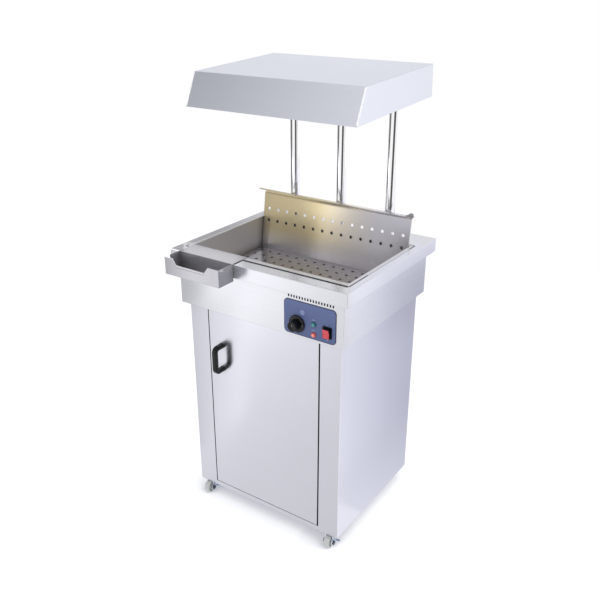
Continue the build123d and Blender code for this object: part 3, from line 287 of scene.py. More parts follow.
def face_and_shaded_flanks(name, face_colour, flank_shade_colour, roughness):
    """A moulded button in its own colour on its front, with its flanks painted near black as their
    shade.
    """
    made, tree, shader = new_material(name)
    wear = noise(tree, WEAR_WAVES, *WORN)
    face = shaded(tree, wear, face_colour, *BUTTON_SHADES)
    normal = add_node(tree, "ShaderNodeTexCoord").outputs["Normal"]
    parts = add_node(tree, "ShaderNodeSeparateXYZ", {"Vector": normal})
    # Painted shade: faces that turn away from the front take the near black flank colour.
    facing = span(tree, parts.outputs["Y"], 1.0, 0.0, *FACE_TURN)
    feed(tree, shader, "Base Color", mix_colour(tree, facing, flank_shade_colour, face))
    gloss = [roughness + change for change in BUTTON_GLOSS]
    feed(tree, shader, "Roughness", span(tree, wear, *gloss, *NOISE_RANGE))
    feed(tree, shader, "Normal", soft_edge(tree, BUTTON_EDGE))
    return made


FILM_WAVES = (30, 30, 30)
FILM_DETAIL = 4.0
FILM_GRAIN = (1800, 1800, 1800)
FILM_RELIEF = (0.25, 0.02 * MM, 0.5 * MM)
FILM_GLOSS = (0.34, 0.48)
FILM_SHINE = 0.25
FILM_FOOT = 0.82
FILM_SHADES = (0.92, 1.08)
BORDER_FULL = 0.6


def panel_sheet(name, colour, edge_colour, low, high, corner, edge_width):
    """Printed film on the control panel: one colour with a darker line along its rounded outline, and
    darker towards the bottom.
    """
    made, tree, shader = new_material(name)
    parts = add_node(tree, "ShaderNodeSeparateXYZ", {"Vector": place(tree)})
    offsets = []
    for axis, output in ((0, "X"), (2, "Z")):
        from_middle = math_node(tree, "SUBTRACT", parts.outputs[output], (low[axis] + high[axis]) / 2)
        half = (high[axis] - low[axis]) / 2 - corner
        outside = math_node(tree, "SUBTRACT", math_node(tree, "ABSOLUTE", from_middle), half)
        offsets.append(math_node(tree, "MAXIMUM", outside, 0.0))
    squares = [math_node(tree, "MULTIPLY", offset, offset) for offset in offsets]
    reach = math_node(tree, "SQRT", math_node(tree, "ADD", *squares))
    border = span(tree, reach, 0.0, 1.0, corner - edge_width, corner - BORDER_FULL * edge_width)
    cloud = noise(tree, FILM_WAVES, FILM_DETAIL)
    film = shaded(tree, cloud, colour, *FILM_SHADES)
    # Darker towards the bottom of the panel.
    foot = span(tree, parts.outputs["Z"], 1.0, 0.0, low[2], high[2])
    film = mix_colour(tree, foot, film, tint(colour, FILM_FOOT))
    feed(tree, shader, "Base Color", mix_colour(tree, border, film, edge_colour))
    feed(tree, shader, "Roughness", span(tree, cloud, *FILM_GLOSS, *NOISE_RANGE))
    shader.inputs["Specular IOR Level"].default_value = FILM_SHINE
    relief(tree, shader, noise(tree, FILM_GRAIN), *FILM_RELIEF)
    return made


LENS_CELLS = 900.0
LENS_SHADES = (0.75, 1.2)
LENS_HIGHLIGHT = (1.0 * MM, 5.0 * MM)
LENS_GLOSS = (0.10, 0.22)
LENS_COAT = 0.6
LENS_COAT_GLOSS = 0.05


def lit_lens(name, colour, glow, painted_highlight=None, tip=None):
    """A clear tinted lens: glossy, ribbed inside, with a faint light of its own and a paler middle that
    paints its highlight.
    """
    made, tree, shader = new_material(name)
    inputs = {"Vector": place(tree), "Scale": LENS_CELLS}
    cells = add_node(tree, "ShaderNodeTexVoronoi", inputs).outputs["Distance"]
    shades = shaded(tree, cells, colour, *LENS_SHADES)
    # Painted highlight: a paler colour towards the middle of the lens's front.
    if painted_highlight:
        away = add_node(tree, "ShaderNodeVectorMath", {0: place(tree), 1: tip}, operation="DISTANCE")
        middle = span(tree, away.outputs["Value"], 1.0, 0.0, *LENS_HIGHLIGHT)
        shades = mix_colour(tree, middle, shades, painted_highlight)
    feed(tree, shader, "Base Color", shades)
    feed(tree, shader, "Emission Color", shades)
    feed(tree, shader, "Roughness", span(tree, cells, *LENS_GLOSS))
    shader.inputs["Emission Strength"].default_value = glow
    shader.inputs["Coat Weight"].default_value = LENS_COAT
    shader.inputs["Coat Roughness"].default_value = LENS_COAT_GLOSS
    return made


# The finishes, each with its colour and roughness
PANEL_CORNER = 12 * MM
PANEL_BORDER = 2.2 * MM
# Where the heat lamps' warm light is painted on the insert: the span across X, and the heights above the
# insert's foot.
LAMP_POOL_ACROSS = (160 * MM, -60 * MM)
LAMP_POOL_HEIGHTS = (20 * MM, 90 * MM)
panel_low, panel_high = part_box("control_panel")
# The steels' second colours are painted shade in their hollows and under overhangs; the hood's, near
# black and far-reaching, paints the shade inside the hood.
hood_steel = brushed_steel("hood_steel", linear(217, 220, 230), painted_shade=(linear(24, 23, 23), 0.25))
deck_steel = brushed_steel(
    "deck_steel", linear(218, 219, 225), 0.26, painted_shade=(linear(196, 196, 201), 0.02)
)
cabinet_steel = brushed_steel(
    "cabinet_steel", linear(218, 219, 228), 0.23, painted_shade=(linear(150, 151, 157), 0.016)
)
pan_steel = brushed_steel(
    "pan_steel", linear(206, 205, 208), 0.30, painted_shade=(linear(40, 38, 38), 0.03), metallic=0.65
)
insert_low, insert_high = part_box("perforated_insert")
lamp_pool_heights = [insert_low.z + height for height in LAMP_POOL_HEIGHTS]
insert_lamp_pool = (linear(192, 178, 144), LAMP_POOL_ACROSS, lamp_pool_heights)
insert_steel = brushed_steel(
    "insert_steel", linear(192, 190, 196), 0.24, 0.4,
    painted_shade=(linear(150, 146, 146), 0.03), lamp_pool=insert_lamp_pool, metallic=0.85,
)
holder_steel = brushed_steel(
    "holder_steel", linear(183, 182, 188), 0.25, painted_shade=(linear(120, 115, 110), 0.03), metallic=0.78
)
# A lighter copy of the steel, as painted light on the holder's hem.
lit_hem_steel = brushed_steel("lit_hem_steel", linear(192, 190, 196), 0.24, 0.4, metallic=0.85)
# Near-white steel, as a painted highlight down the hood's front corners.
highlight_steel = brushed_steel("highlight_steel", linear(251, 252, 254), 0.35, metallic=0.15)
chrome = plated("chrome", linear(246, 246, 248), 0.05)
zinc = plated("zinc", linear(222, 228, 238), 0.20)
# Dark plated metal for the castor axles, and for the strip that paints the shadow under the holder's
# hem.
nut_metal_and_hem_shadow = plated("nut_metal_and_hem_shadow", linear(84, 90, 104), 0.35)
element_metal = plated("element_metal", linear(120, 112, 108), 0.4)
copper = plated("copper", linear(205, 140, 105), 0.25)
black_plastic = moulded("black_plastic", linear(9, 9, 12), 0.24, shine=0.28)
dark_plastic = moulded("dark_plastic", linear(58, 58, 62), 0.5)
wheel_plastic = moulded("wheel_plastic", linear(194, 197, 196), 0.46)
ceramic = moulded("ceramic", linear(232, 229, 220), 0.25, grain=300.0, coat=0.4)
# Rubber for the wiring loom, and for the dark strips that paint shadow in the rim's gap and beside the
# holder.
rubber_and_shadow_strips = moulded("rubber_and_shadow_strips", linear(40, 40, 43), 0.6)
# Near black, as painted shade behind the vent slots.
shade_black = moulded("shade_black", linear(5, 5, 6), 0.9, shine=0.0)
# The rocker's red front, with its flanks painted near black as shade.
red_plastic = face_and_shaded_flanks("red_plastic", linear(215, 62, 78), linear(16, 14, 16), 0.24)
dial_ink = moulded("dial_ink", linear(128, 126, 138), 0.5)
rocker_ink_red = moulded("rocker_ink", linear(228, 128, 132), 0.4)
blue_ink = moulded("blue_ink", linear(188, 202, 248), 0.5)
panel_film = panel_sheet(
    "panel_film", linear(100, 113, 158), linear(62, 68, 100),
    panel_low, panel_high, PANEL_CORNER, PANEL_BORDER,
)


def lens_tip(name):
    """The middle of an indicator's front."""
    low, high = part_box(name)
    return ((low.x + high.x) / 2, low.y, (low.z + high.z) / 2)


# The second colour of each indicator is its painted highlight.
green_lens = lit_lens(
    "green_lens", linear(26, 112, 116), 0.12, linear(58, 152, 150), lens_tip("power_indicator")
)
green_ring = moulded("green_ring", linear(38, 84, 96), 0.35)
orange_lens = lit_lens(
    "orange_lens", linear(206, 84, 76), 0.25, linear(242, 160, 145), lens_tip("heating_indicator")
)
orange_ring = moulded("orange_ring", linear(140, 72, 78), 0.35)
lamp_glass = lit_lens("lamp_glass", linear(255, 222, 170), 4.0)
lamp_silver = plated("lamp_silver", linear(215, 212, 205), 0.16)

finish_of = {
    hood_steel: ["hood_shell", "hood_bracket", "lamp_bar"],
    deck_steel: ["worktop", "head_shell", "head_floor"],
    cabinet_steel: [
        "cabinet_left_side", "cabinet_right_side", "cabinet_back", "cabinet_floor",
        "door_panel", "door_liner",
    ],
    pan_steel: ["well_pan"],
    insert_steel: ["perforated_insert"],
    holder_steel: ["scoop_holder"],
    chrome: ["post_left", "post_middle", "post_right", "post_collars"],
    element_metal: ["heating_element"],
    copper: ["thermostat_probe"],
    dark_plastic: ["thermostat_body", "door_catch"],
    black_plastic: ["rocker_housing", "cable_gland", "thermostat_knob", "door_handle"],
    red_plastic: ["rocker_button"],
    green_lens: ["power_indicator"],
    orange_lens: ["heating_indicator"],
    ceramic: ["lamp_sockets", "terminal_block"],
    rubber_and_shadow_strips: ["wiring_loom"],
    panel_film: ["control_panel"],
    lamp_silver: ["heat_lamp_left", "heat_lamp_right"],
}
finish_of[nut_metal_and_hem_shadow] = [name for name in nodes if name.startswith("castor_axle")]
finish_of[wheel_plastic] = [name for name in nodes if name.startswith("castor_wheel")]
dressed = {name for names in finish_of.values() for name in names}
finish_of[zinc] = [name for name in nodes if name not in dressed]
for finish, names in finish_of.items():
    for name in names:
        nodes[name].data.materials.clear()
        nodes[name].data.materials.append(finish)


# Small helpers for meshes
def add_piece(name, shape, finishes, body, stands_for=(), sharp=35):
    """A finished piece from a shape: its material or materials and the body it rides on."""
    mesh = bpy.data.meshes.new(name)
    bmesh.ops.recalc_face_normals(shape, faces=shape.faces)
    shape.to_mesh(mesh)
    shape.free()
    for finish in finishes:
        mesh.materials.append(finish)
    mesh.shade_smooth()
    mesh.set_sharp_from_angle(angle=radians(sharp))
    made = bpy.data.objects.new(name, mesh)
    scene.collection.objects.link(made)
    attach(made, body)
    if stands_for:
        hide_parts(*stands_for)
    return made


def axes(origin, x_dir, y_dir):
    """The placement of local axes in the model."""
    x = Vector(x_dir).normalized()
    z = x.cross(Vector(y_dir)).normalized()
    turn = Matrix((x, z.cross(x), z)).transposed().to_4x4()
    return Matrix.Translation(origin) @ turn


def skin(shape, rings, closed=False, finish=0):
    """Faces between rings of points, which all have the same number of points."""
    made = [[shape.verts.new(point) for point in ring] for ring in rings]
    pairs = list(zip(made, made[1:]))
    if closed:
        pairs.append((made[-1], made[0]))
    count = len(made[0])
    for first, second in pairs:
        for k in range(count):
            corners = [first[k], first[(k + 1) % count], second[(k + 1) % count], second[k]]
            shape.faces.new(corners).material_index = finish
    return made


def lathe(shape, profile, frame_at, steps=48, finish=0, wave=None):
    """A turned form about the local Z axis from (radius, height) points, capped at both ends."""
    rings = []
    for radius, height in profile:
        ring = []
        for k in range(steps):
            angle = 2 * pi * k / steps
            reach = radius if wave is None else radius - wave(angle, height)
            ring.append(frame_at @ Vector((reach * cos(angle), reach * sin(angle), height)))
        rings.append(ring)
    made = skin(shape, rings, finish=finish)
    for ring in (made[0], made[-1]):
        shape.faces.new(ring).material_index = finish


def slab(shape, outline, low, high, frame_at, finish=0):
    """A flat prism from an outline in the local XY plane, between two heights."""
    rings = [[frame_at @ Vector((x, y, height)) for x, y in outline] for height in (low, high)]
    for ring in skin(shape, rings, finish=finish):
        shape.faces.new(ring).material_index = finish


def rectangle(x, y, width, height, corner=0.0, steps=5):
    """The outline of a rectangle around a point, with round corners."""
    if not corner:
        corner_points = [(-1, -1), (1, -1), (1, 1), (-1, 1)]
        return [(x + sx * width / 2, y + sy * height / 2) for sx, sy in corner_points]
    outline = []
    for quarter, (sx, sy) in enumerate(((1, 1), (-1, 1), (-1, -1), (1, -1))):
        for k in range(steps + 1):
            angle = pi / 2 * (quarter + k / steps)
            across = sx * (width / 2 - corner) + corner * cos(angle)
            up = sy * (height / 2 - corner) + corner * sin(angle)
            outline.append((x + across, y + up))
    return outline


def hoop(shape, outer, inner, low, high, frame_at, finish=0):
    """A flat frame between two outlines with the same number of points."""
    rings = []
    for outline, height in ((outer, low), (outer, high), (inner, high), (inner, low)):
        rings.append([frame_at @ Vector((x, y, height)) for x, y in outline])
    skin(shape, rings, closed=True, finish=finish)


def ring_outline(x, y, radius, steps=24):
    """The outline of a circle."""
    angles = [2 * pi * k / steps for k in range(steps)]
    return [(x + radius * cos(angle), y + radius * sin(angle)) for angle in angles]


def in_mm(points):
    """Points that are written in millimetres, in metres."""
    return [(a * MM, b * MM) for a, b in points]


def on_front(x, y, z):
    """Local axes on a face that looks to the front: X to the right, Y up, Z out of the face."""
    return axes((x, y, z), (1, 0, 0), (0, 0, 1))


# Door handle: a bowed moulding of rounded section with a swollen foot at each end
HANDLE_BAR = 13 * MM
HANDLE_LEG = 13 * MM
HANDLE_BEND = 12 * MM
HANDLE_SECTION = 48
HANDLE_SQUARE = 0.45
LEG_SHARES = (0.0, 0.04, 0.1, 0.18, 0.5, 0.9)
FOOT_SHARE = 0.18
FOOT_WIDER = 0.06
FOOT_THICKER = 0.10
BEND_STEPS = 12

handle_low, handle_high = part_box("door_handle")
handle_x = (handle_low.x + handle_high.x) / 2
handle_half = (handle_high.x - handle_low.x) / 2
bar_y = handle_low.y + HANDLE_BAR / 2
leg_top = handle_high.z - HANDLE_LEG / 2
leg_bottom = handle_low.z + HANDLE_LEG / 2
route = []
straight = handle_high.y - (bar_y + HANDLE_BEND)
for share in LEG_SHARES:
    foot = 1 - min(1.0, share / FOOT_SHARE)
    route.append((handle_high.y - share * straight, leg_top, 0.0, HANDLE_LEG / 2, foot))
for k in range(BEND_STEPS + 1):
    angle = pi / 2 * k / BEND_STEPS
    y = bar_y + HANDLE_BEND - HANDLE_BEND * sin(angle)
    z = leg_top - HANDLE_BEND + HANDLE_BEND * cos(angle)
    half = (HANDLE_LEG + (HANDLE_BAR - HANDLE_LEG) * k / BEND_STEPS) / 2
    route.append((y, z, angle, half, 0.0))
middle_z = (leg_top + leg_bottom) / 2
route.append((bar_y, middle_z + (leg_top - leg_bottom) / 4, pi / 2, HANDLE_BAR / 2, 0.0))
route.append((bar_y, middle_z, pi / 2, HANDLE_BAR / 2, 0.0))
upper = list(reversed(route[:-1]))
route += [(y, 2 * middle_z - z, pi - angle, half, foot) for y, z, angle, half, foot in upper]


def squared(value):
    """A cosine or sine drawn out towards its ends, which makes a round section squarer."""
    return abs(value) ** HANDLE_SQUARE * (1 if value >= 0 else -1)


handle_shape = bmesh.new()
handle_rings = []
for y, z, angle, half, foot in route:
    ring = []
    for k in range(HANDLE_SECTION):
        turn = 2 * pi * k / HANDLE_SECTION
        across = squared(cos(turn)) * handle_half * (1 + FOOT_WIDER * foot * foot)
        out = squared(sin(turn)) * half * (1 + FOOT_THICKER * foot * foot)
        ring.append((handle_x + across, y - out * sin(angle), z + out * cos(angle)))
    handle_rings.append(ring)
handle_skin = skin(handle_shape, handle_rings)
for ring in (handle_skin[0], handle_skin[-1]):
    handle_shape.faces.new(ring)
add_piece(
    "handle_bow", handle_shape, [black_plastic], "door", ["door_handle"], sharp=50
)

# Thermostat knob: a dial skirt and a fluted grip with a dished tip
KNOB_FLUTES = 18
SIDES_PER_FLUTE = 6
FLUTE_DEPTH = 0.5 * MM
SKIRT_HEIGHT = 6 * MM
SKIRT_RADIUS = 25 * MM
SKIRT_SIDES = 72
SKIRT_SHOULDER = 4.9 * MM
SKIRT_SLOPE_START = 1.4 * MM
GRIP_RADIUS = 15.5 * MM
GRIP_SHORTER = 1 * MM
FLUTE_END = 2.5 * MM
FLUTE_FADE = 3 * MM
DIAL_START = 225
DIAL_SWEEP = 270
DIAL_TICKS = 28
LONG_TICK_EVERY = 4
LONG_TICK = (4.2 * MM, 0.8 * MM)
SHORT_TICK = (3.2 * MM, 0.5 * MM)
TICK_FROM_RIM = 1.6 * MM
DIAL_NUMBERS = ("0", "30", "45", "60", "75", "90", "MAX")
NUMBER_FROM_RIM = 6.2 * MM
NUMBER_SIZE = 3.2 * MM
WORD_SIZE = 2.2 * MM
DIAL_INK = 0.12 * MM
POINTER = (2.0 * MM, 6 * MM, 0.9 * MM)
POINTER_OUT = 3.2 * MM
POINTER_BELOW_TIP = 1.0 * MM
POINTER_HEIGHTS = (-0.7 * MM, 0.2 * MM)

knob_low, knob_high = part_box("thermostat_knob")
knob_x = (knob_low.x + knob_high.x) / 2
knob_z = (knob_low.z + knob_high.z) / 2
knob_length = knob_high.y - knob_low.y - GRIP_SHORTER
knob_frame = on_front(knob_x, knob_high.y, knob_z)
knob_shape = bmesh.new()
skirt_profile = [
    (SKIRT_RADIUS - 0.6 * MM, 0.0),
    (SKIRT_RADIUS, 0.7 * MM),
    (SKIRT_RADIUS, 3.6 * MM),
    (SKIRT_RADIUS - 0.5 * MM, 4.4 * MM),
    (SKIRT_RADIUS - SKIRT_SLOPE_START, SKIRT_SHOULDER),
    (GRIP_RADIUS + SKIRT_SLOPE_START, SKIRT_HEIGHT),
    (GRIP_RADIUS - 2 * MM, SKIRT_HEIGHT + 0.2 * MM),
]
lathe(knob_shape, skirt_profile, knob_frame, SKIRT_SIDES)


def flute(angle, height):
    """How far a flute cuts into the grip at an angle and height."""
    fade = min(1.0, max(0.0, (knob_length - FLUTE_END - height) / FLUTE_FADE))
    return fade * FLUTE_DEPTH * (1 - cos(KNOB_FLUTES * angle)) / 2


grip_profile = [
    (GRIP_RADIUS, SKIRT_HEIGHT - 1 * MM),
    (GRIP_RADIUS, SKIRT_HEIGHT + 4 * MM),
    (GRIP_RADIUS - 0.4 * MM, knob_length - 6 * MM),
    (GRIP_RADIUS - 0.7 * MM, knob_length - 3 * MM),
    (GRIP_RADIUS - 1.1 * MM, knob_length - 1.4 * MM),
    (GRIP_RADIUS - 1.9 * MM, knob_length - 0.4 * MM),
    (GRIP_RADIUS - 3.0 * MM, knob_length),
    (GRIP_RADIUS - 4.6 * MM, knob_length - 0.3 * MM),
    (GRIP_RADIUS - 8.0 * MM, knob_length - 1.2 * MM),
    (2 * MM, knob_length - 1.6 * MM),
]
lathe(knob_shape, grip_profile, knob_frame, SIDES_PER_FLUTE * KNOB_FLUTES, wave=flute)
add_piece("dial_knob", knob_shape, [black_plastic], "knob", ["thermostat_knob"])

mark_shape = bmesh.new()
slope = (SKIRT_HEIGHT - SKIRT_SHOULDER) / (SKIRT_RADIUS - GRIP_RADIUS - 2 * SKIRT_SLOPE_START)
dial_top = Vector((0, 0, SKIRT_HEIGHT + slope * (GRIP_RADIUS + SKIRT_SLOPE_START)))
for tick in range(DIAL_TICKS + 1):
    angle = radians(DIAL_START - DIAL_SWEEP * tick / DIAL_TICKS)
    from_rim, width = SHORT_TICK if tick % LONG_TICK_EVERY else LONG_TICK
    inner = SKIRT_RADIUS - from_rim
    outer = SKIRT_RADIUS - TICK_FROM_RIM
    out = Vector((cos(angle), sin(angle), -slope))
    spot = dial_top + (inner + outer) / 2 * out
    tick_frame = knob_frame @ axes(spot, out, (-sin(angle), cos(angle), 0))
    slab(mark_shape, rectangle(0, 0, outer - inner, width), 0, DIAL_INK, tick_frame)
tip_frame = knob_frame @ Matrix.Translation((0, 0, knob_length - POINTER_BELOW_TIP))
slab(mark_shape, rectangle(0, POINTER_OUT, *POINTER), *POINTER_HEIGHTS, tip_frame)
add_piece("dial_marks", mark_shape, [dial_ink], "knob")


def lettering(shape, text, size, frame_at, depth):
    """A short generic mark, centred in the local XY plane, as a thin raised form."""
    curve = bpy.data.curves.new("lettering", "FONT")
    curve.body = text
    curve.size = size
    curve.align_x = "CENTER"
    curve.align_y = "CENTER"
    curve.extrude = depth / 2
    curve.resolution_u = 3
    carrier = bpy.data.objects.new("lettering", curve)
    scene.collection.objects.link(carrier)
    bpy.context.view_layer.update()
    flat = bpy.data.meshes.new_from_object(carrier)
    flat.transform(frame_at @ Matrix.Translation((0, 0, depth / 2)))
    shape.from_mesh(flat)
    bpy.data.objects.remove(carrier)
    bpy.data.curves.remove(curve)
    bpy.data.meshes.remove(flat)


number_shape = bmesh.new()
for step, text in enumerate(DIAL_NUMBERS):
    angle = radians(DIAL_START - DIAL_SWEEP * step / (len(DIAL_NUMBERS) - 1))
    out = Vector((cos(angle), sin(angle), -slope))
    start = dial_top + (SKIRT_RADIUS - NUMBER_FROM_RIM) * out
    number_frame = knob_frame @ axes(start, (sin(angle), -cos(angle), 0), out)
    size = NUMBER_SIZE if text.isdigit() else WORD_SIZE
    lettering(number_shape, text, size, number_frame, DIAL_INK)
add_piece("dial_numbers", number_shape, [dial_ink], "knob")

# Indicator lamps: a ring and a domed lens each
LENS_COLLAR = ((7.7, 0.0), (7.7, 0.8), (7.4, 1.3), (6.9, 1.5), (6.6, 1.2), (6.2, 0.4))
LENS_RADIUS = 6.5 * MM
LENS_FOOT = 0.3 * MM
LENS_WALL = 3.2 * MM
LENS_DOME = 3.1 * MM
DOME_STEPS = 9
LENS_SIDES = 40

for name, finish, ring_finish, slot in (
    ("power_indicator", green_lens, green_ring, "green_lens"),
    ("heating_indicator", orange_lens, orange_ring, "orange_lens"),
):
    low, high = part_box(name)
    lens_frame = on_front((low.x + high.x) / 2, panel_low.y, (low.z + high.z) / 2)
    lens_shape = bmesh.new()
    lathe(lens_shape, in_mm(LENS_COLLAR), lens_frame, LENS_SIDES)
    dome = [(LENS_RADIUS, LENS_FOOT), (LENS_RADIUS, LENS_WALL)]
    for k in range(1, DOME_STEPS):
        angle = pi / 2 * k / DOME_STEPS
        dome.append((LENS_RADIUS * cos(angle), LENS_WALL + LENS_DOME * sin(angle)))
    lathe(lens_shape, dome, lens_frame, LENS_SIDES, finish=1)
    add_piece(f"{name}_lens", lens_shape, [ring_finish, finish], "base", [name])

# Marks on the panel: a small round symbol, and label bars by the lamps and the switch.
# Each row of bars has its middle, in metres, and the widths of its bars in millimetres.
INK = 0.15 * MM
SYMBOL = (154 * MM, 768 * MM)
SYMBOL_RADII = (6.2 * MM, 5.0 * MM)
SYMBOL_BAR = (1.6 * MM, 6.8 * MM, 0.7 * MM)
LABEL_HEIGHT = 1.3 * MM
LABEL_CORNER = 0.3 * MM
LABEL_GAP = 0.8
LABEL_BARS = (
    (0.1905, 0.7552, (3.0, 2.2, 2.6)),
    (0.1905, 0.7245, (2.6, 3.0, 2.0)),
    (0.2335, 0.7525, (2.2,)),
    (0.2335, 0.7090, (2.2, 2.2)),
)
ink_shape = bmesh.new()
ink_frame = on_front(0, panel_low.y, 0)
hoop(ink_shape, *[ring_outline(*SYMBOL, radius) for radius in SYMBOL_RADII], 0, INK, ink_frame)
slab(ink_shape, rectangle(*SYMBOL, *SYMBOL_BAR), 0, INK, ink_frame)
for x, z, widths in LABEL_BARS:
    start = x - (sum(widths) + LABEL_GAP * (len(widths) - 1)) * MM / 2
    for width in widths:
        bar = rectangle(start + width * MM / 2, z, width * MM, LABEL_HEIGHT, LABEL_CORNER)
        slab(ink_shape, bar, 0, INK, ink_frame)
        start += (width + LABEL_GAP) * MM
add_piece("panel_marks", ink_shape, [blue_ink], "base")

# Rocker marks: a bar and a ring on the two halves of the tilted button
ROCKER_REST = radians(8)
ROCKER_FACE = 8.5 * MM
ROCKER_END = 13.4 * MM
ROCKER_BAR = (0.9 * MM, 6 * MM, 0.3 * MM)
ROCKER_RING = (3.0 * MM, 2.2 * MM)
rocker_pivot = Vector(joints["rocker_tilt"]["pos_m"])
rocker_out = Vector((0, -cos(ROCKER_REST), -sin(ROCKER_REST)))
rocker_down = Vector((0, sin(ROCKER_REST), -cos(ROCKER_REST)))
rocker_ink = bmesh.new()
for side in (-1, 1):
    along = (side * rocker_down * cos(ROCKER_REST) + rocker_out * sin(ROCKER_REST)).normalized()
    spot = rocker_pivot + rocker_out * ROCKER_FACE + along * ROCKER_END / 2
    half_frame = axes(spot, (1, 0, 0), -side * along)
    if side < 0:
        slab(rocker_ink, rectangle(0, 0, *ROCKER_BAR), 0, INK, half_frame)
    else:
        hoop(rocker_ink, *[ring_outline(0, 0, radius) for radius in ROCKER_RING], 0, INK, half_frame)
add_piece("rocker_marks", rocker_ink, [rocker_ink_red], "rocker")

# Near-black sheet and gauze wires behind the vent slots: painted shade inside the slots
VENT_MIDDLE = (179 * MM, 808 * MM)
VENT_SHEET = (152 * MM, 14 * MM, 1 * MM)
VENT_BEHIND = 1.2 * MM
GAUZE_HEIGHTS = (0.6 * MM, 0.9 * MM)
GAUZE_WIRE = (150 * MM, 0.3 * MM)
GAUZE_WIRES = 8
GAUZE_PITCH = 1.6 * MM
head_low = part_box("head_shell")[0]
vent_shape = bmesh.new()
vent_frame = on_front(VENT_MIDDLE[0], head_low.y + VENT_BEHIND, VENT_MIDDLE[1])
slab(vent_shape, rectangle(0, 0, *VENT_SHEET), 0, GAUZE_HEIGHTS[0], vent_frame)
for row in range(GAUZE_WIRES):
    wire = rectangle(0, (row - (GAUZE_WIRES - 1) / 2) * GAUZE_PITCH, *GAUZE_WIRE)
    slab(vent_shape, wire, *GAUZE_HEIGHTS, vent_frame)
add_piece("vent_shade_gauze", vent_shape, [shade_black], "base")

# Dark rubber strip in the gap between the worktop and the pan's rim, and a fuller bead of it along the
# front: painted shadow in that gap and on the rim's front edge.
# Each outline has its distance from the rim and its corner. Heights count from the top of the rim.
GAP_SHADOW_OUTLINES = ((3.9 * MM, 6.9 * MM), (0.2 * MM, 3.2 * MM))
GAP_SHADOW_HEIGHTS = (-1.1 * MM, -0.35 * MM)
BEAD_OFF_HOLDER = 4 * MM
BEAD_OFF_CORNER = 1 * MM
BEAD_OFF_RIM = 2 * MM
BEAD_WIDTH = 3.4 * MM
BEAD_CORNER = 1 * MM
BEAD_HEIGHTS = (-0.6 * MM, 1.4 * MM)
rim_low, rim_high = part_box("well_pan")
worktop_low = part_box("worktop")[0]
holder_low, holder_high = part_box("scoop_holder")
holder_edge = holder_high.x
rim_frame = Matrix.Translation((0, 0, rim_high.z))
rim_middle = ((rim_low.x + rim_high.x) / 2, (rim_low.y + rim_high.y) / 2)
rim_size = (rim_high.x - rim_low.x, rim_high.y - rim_low.y)
gap_shadow_shape = bmesh.new()
gap_shadow_outlines = []
for grow, corner in GAP_SHADOW_OUTLINES:
    grown = [size + 2 * grow for size in rim_size]
    gap_shadow_outlines.append(rectangle(*rim_middle, *grown, corner))
hoop(gap_shadow_shape, *gap_shadow_outlines, *GAP_SHADOW_HEIGHTS, rim_frame)
bead_start = holder_edge + BEAD_OFF_HOLDER
bead_end = rim_high.x - BEAD_OFF_CORNER
bead_middle = ((bead_start + bead_end) / 2, rim_low.y - BEAD_OFF_RIM)
gap_shadow_bead = rectangle(*bead_middle, bead_end - bead_start, BEAD_WIDTH, BEAD_CORNER)
slab(gap_shadow_shape, gap_shadow_bead, *BEAD_HEIGHTS, rim_frame)
add_piece("rim_gap_shadow", gap_shadow_shape, [rubber_and_shadow_strips], "base")

# Dark rubber strip along the right of the holder's hooked plate: the painted shadow beside the plate's
# edge
EDGE_SHADOW_WIDTH = 2.8 * MM
EDGE_SHADOW_CORNER = 0.8 * MM
EDGE_SHADOW_FROM_FRONT = 3 * MM
EDGE_SHADOW_FROM_RIM = 2 * MM
EDGE_SHADOW_HEIGHTS = (0.1 * MM, 1.4 * MM)
edge_shadow_shape = bmesh.new()
edge_shadow_length = rim_low.y - worktop_low.y - EDGE_SHADOW_FROM_FRONT - EDGE_SHADOW_FROM_RIM
edge_shadow_middle = (holder_edge + EDGE_SHADOW_WIDTH / 2, worktop_low.y + EDGE_SHADOW_FROM_FRONT + edge_shadow_length / 2)
edge_shadow_outline = rectangle(*edge_shadow_middle, EDGE_SHADOW_WIDTH, edge_shadow_length, EDGE_SHADOW_CORNER)
slab(edge_shadow_shape, edge_shadow_outline, *EDGE_SHADOW_HEIGHTS, rim_frame)
add_piece("holder_edge_shadow", edge_shadow_shape, [rubber_and_shadow_strips], "holder")

# Welds along the left and the right of the rim, ground flush with the worktop
WELD_HEIGHTS = (-0.9 * MM, -0.1 * MM)
WELD_CORNER = 0.4 * MM
LEFT_WELD_WIDTH = 4.0 * MM
LEFT_WELD_SHORTER = 16 * MM
LEFT_WELD_BACK = 5 * MM
RIGHT_WELD_WIDTH = 2.4 * MM
RIGHT_WELD_OFF_RIM = 1.3 * MM
RIGHT_WELD_SHARE = 0.66
RIGHT_WELD_BACK_SHARE = 0.09
welds = (
    (rim_low.x - LEFT_WELD_WIDTH / 2, LEFT_WELD_BACK, LEFT_WELD_WIDTH, rim_size[1] - LEFT_WELD_SHORTER),
    (
        rim_high.x + RIGHT_WELD_OFF_RIM, RIGHT_WELD_BACK_SHARE * rim_size[1],
        RIGHT_WELD_WIDTH, RIGHT_WELD_SHARE * rim_size[1],
    ),
)
weld_shape = bmesh.new()
for x, back, width, length in welds:
    weld_outline = rectangle(x, rim_middle[1] + back, width, length, WELD_CORNER)
    slab(weld_shape, weld_outline, *WELD_HEIGHTS, rim_frame)
add_piece("rim_weld", weld_shape, [deck_steel], "base")

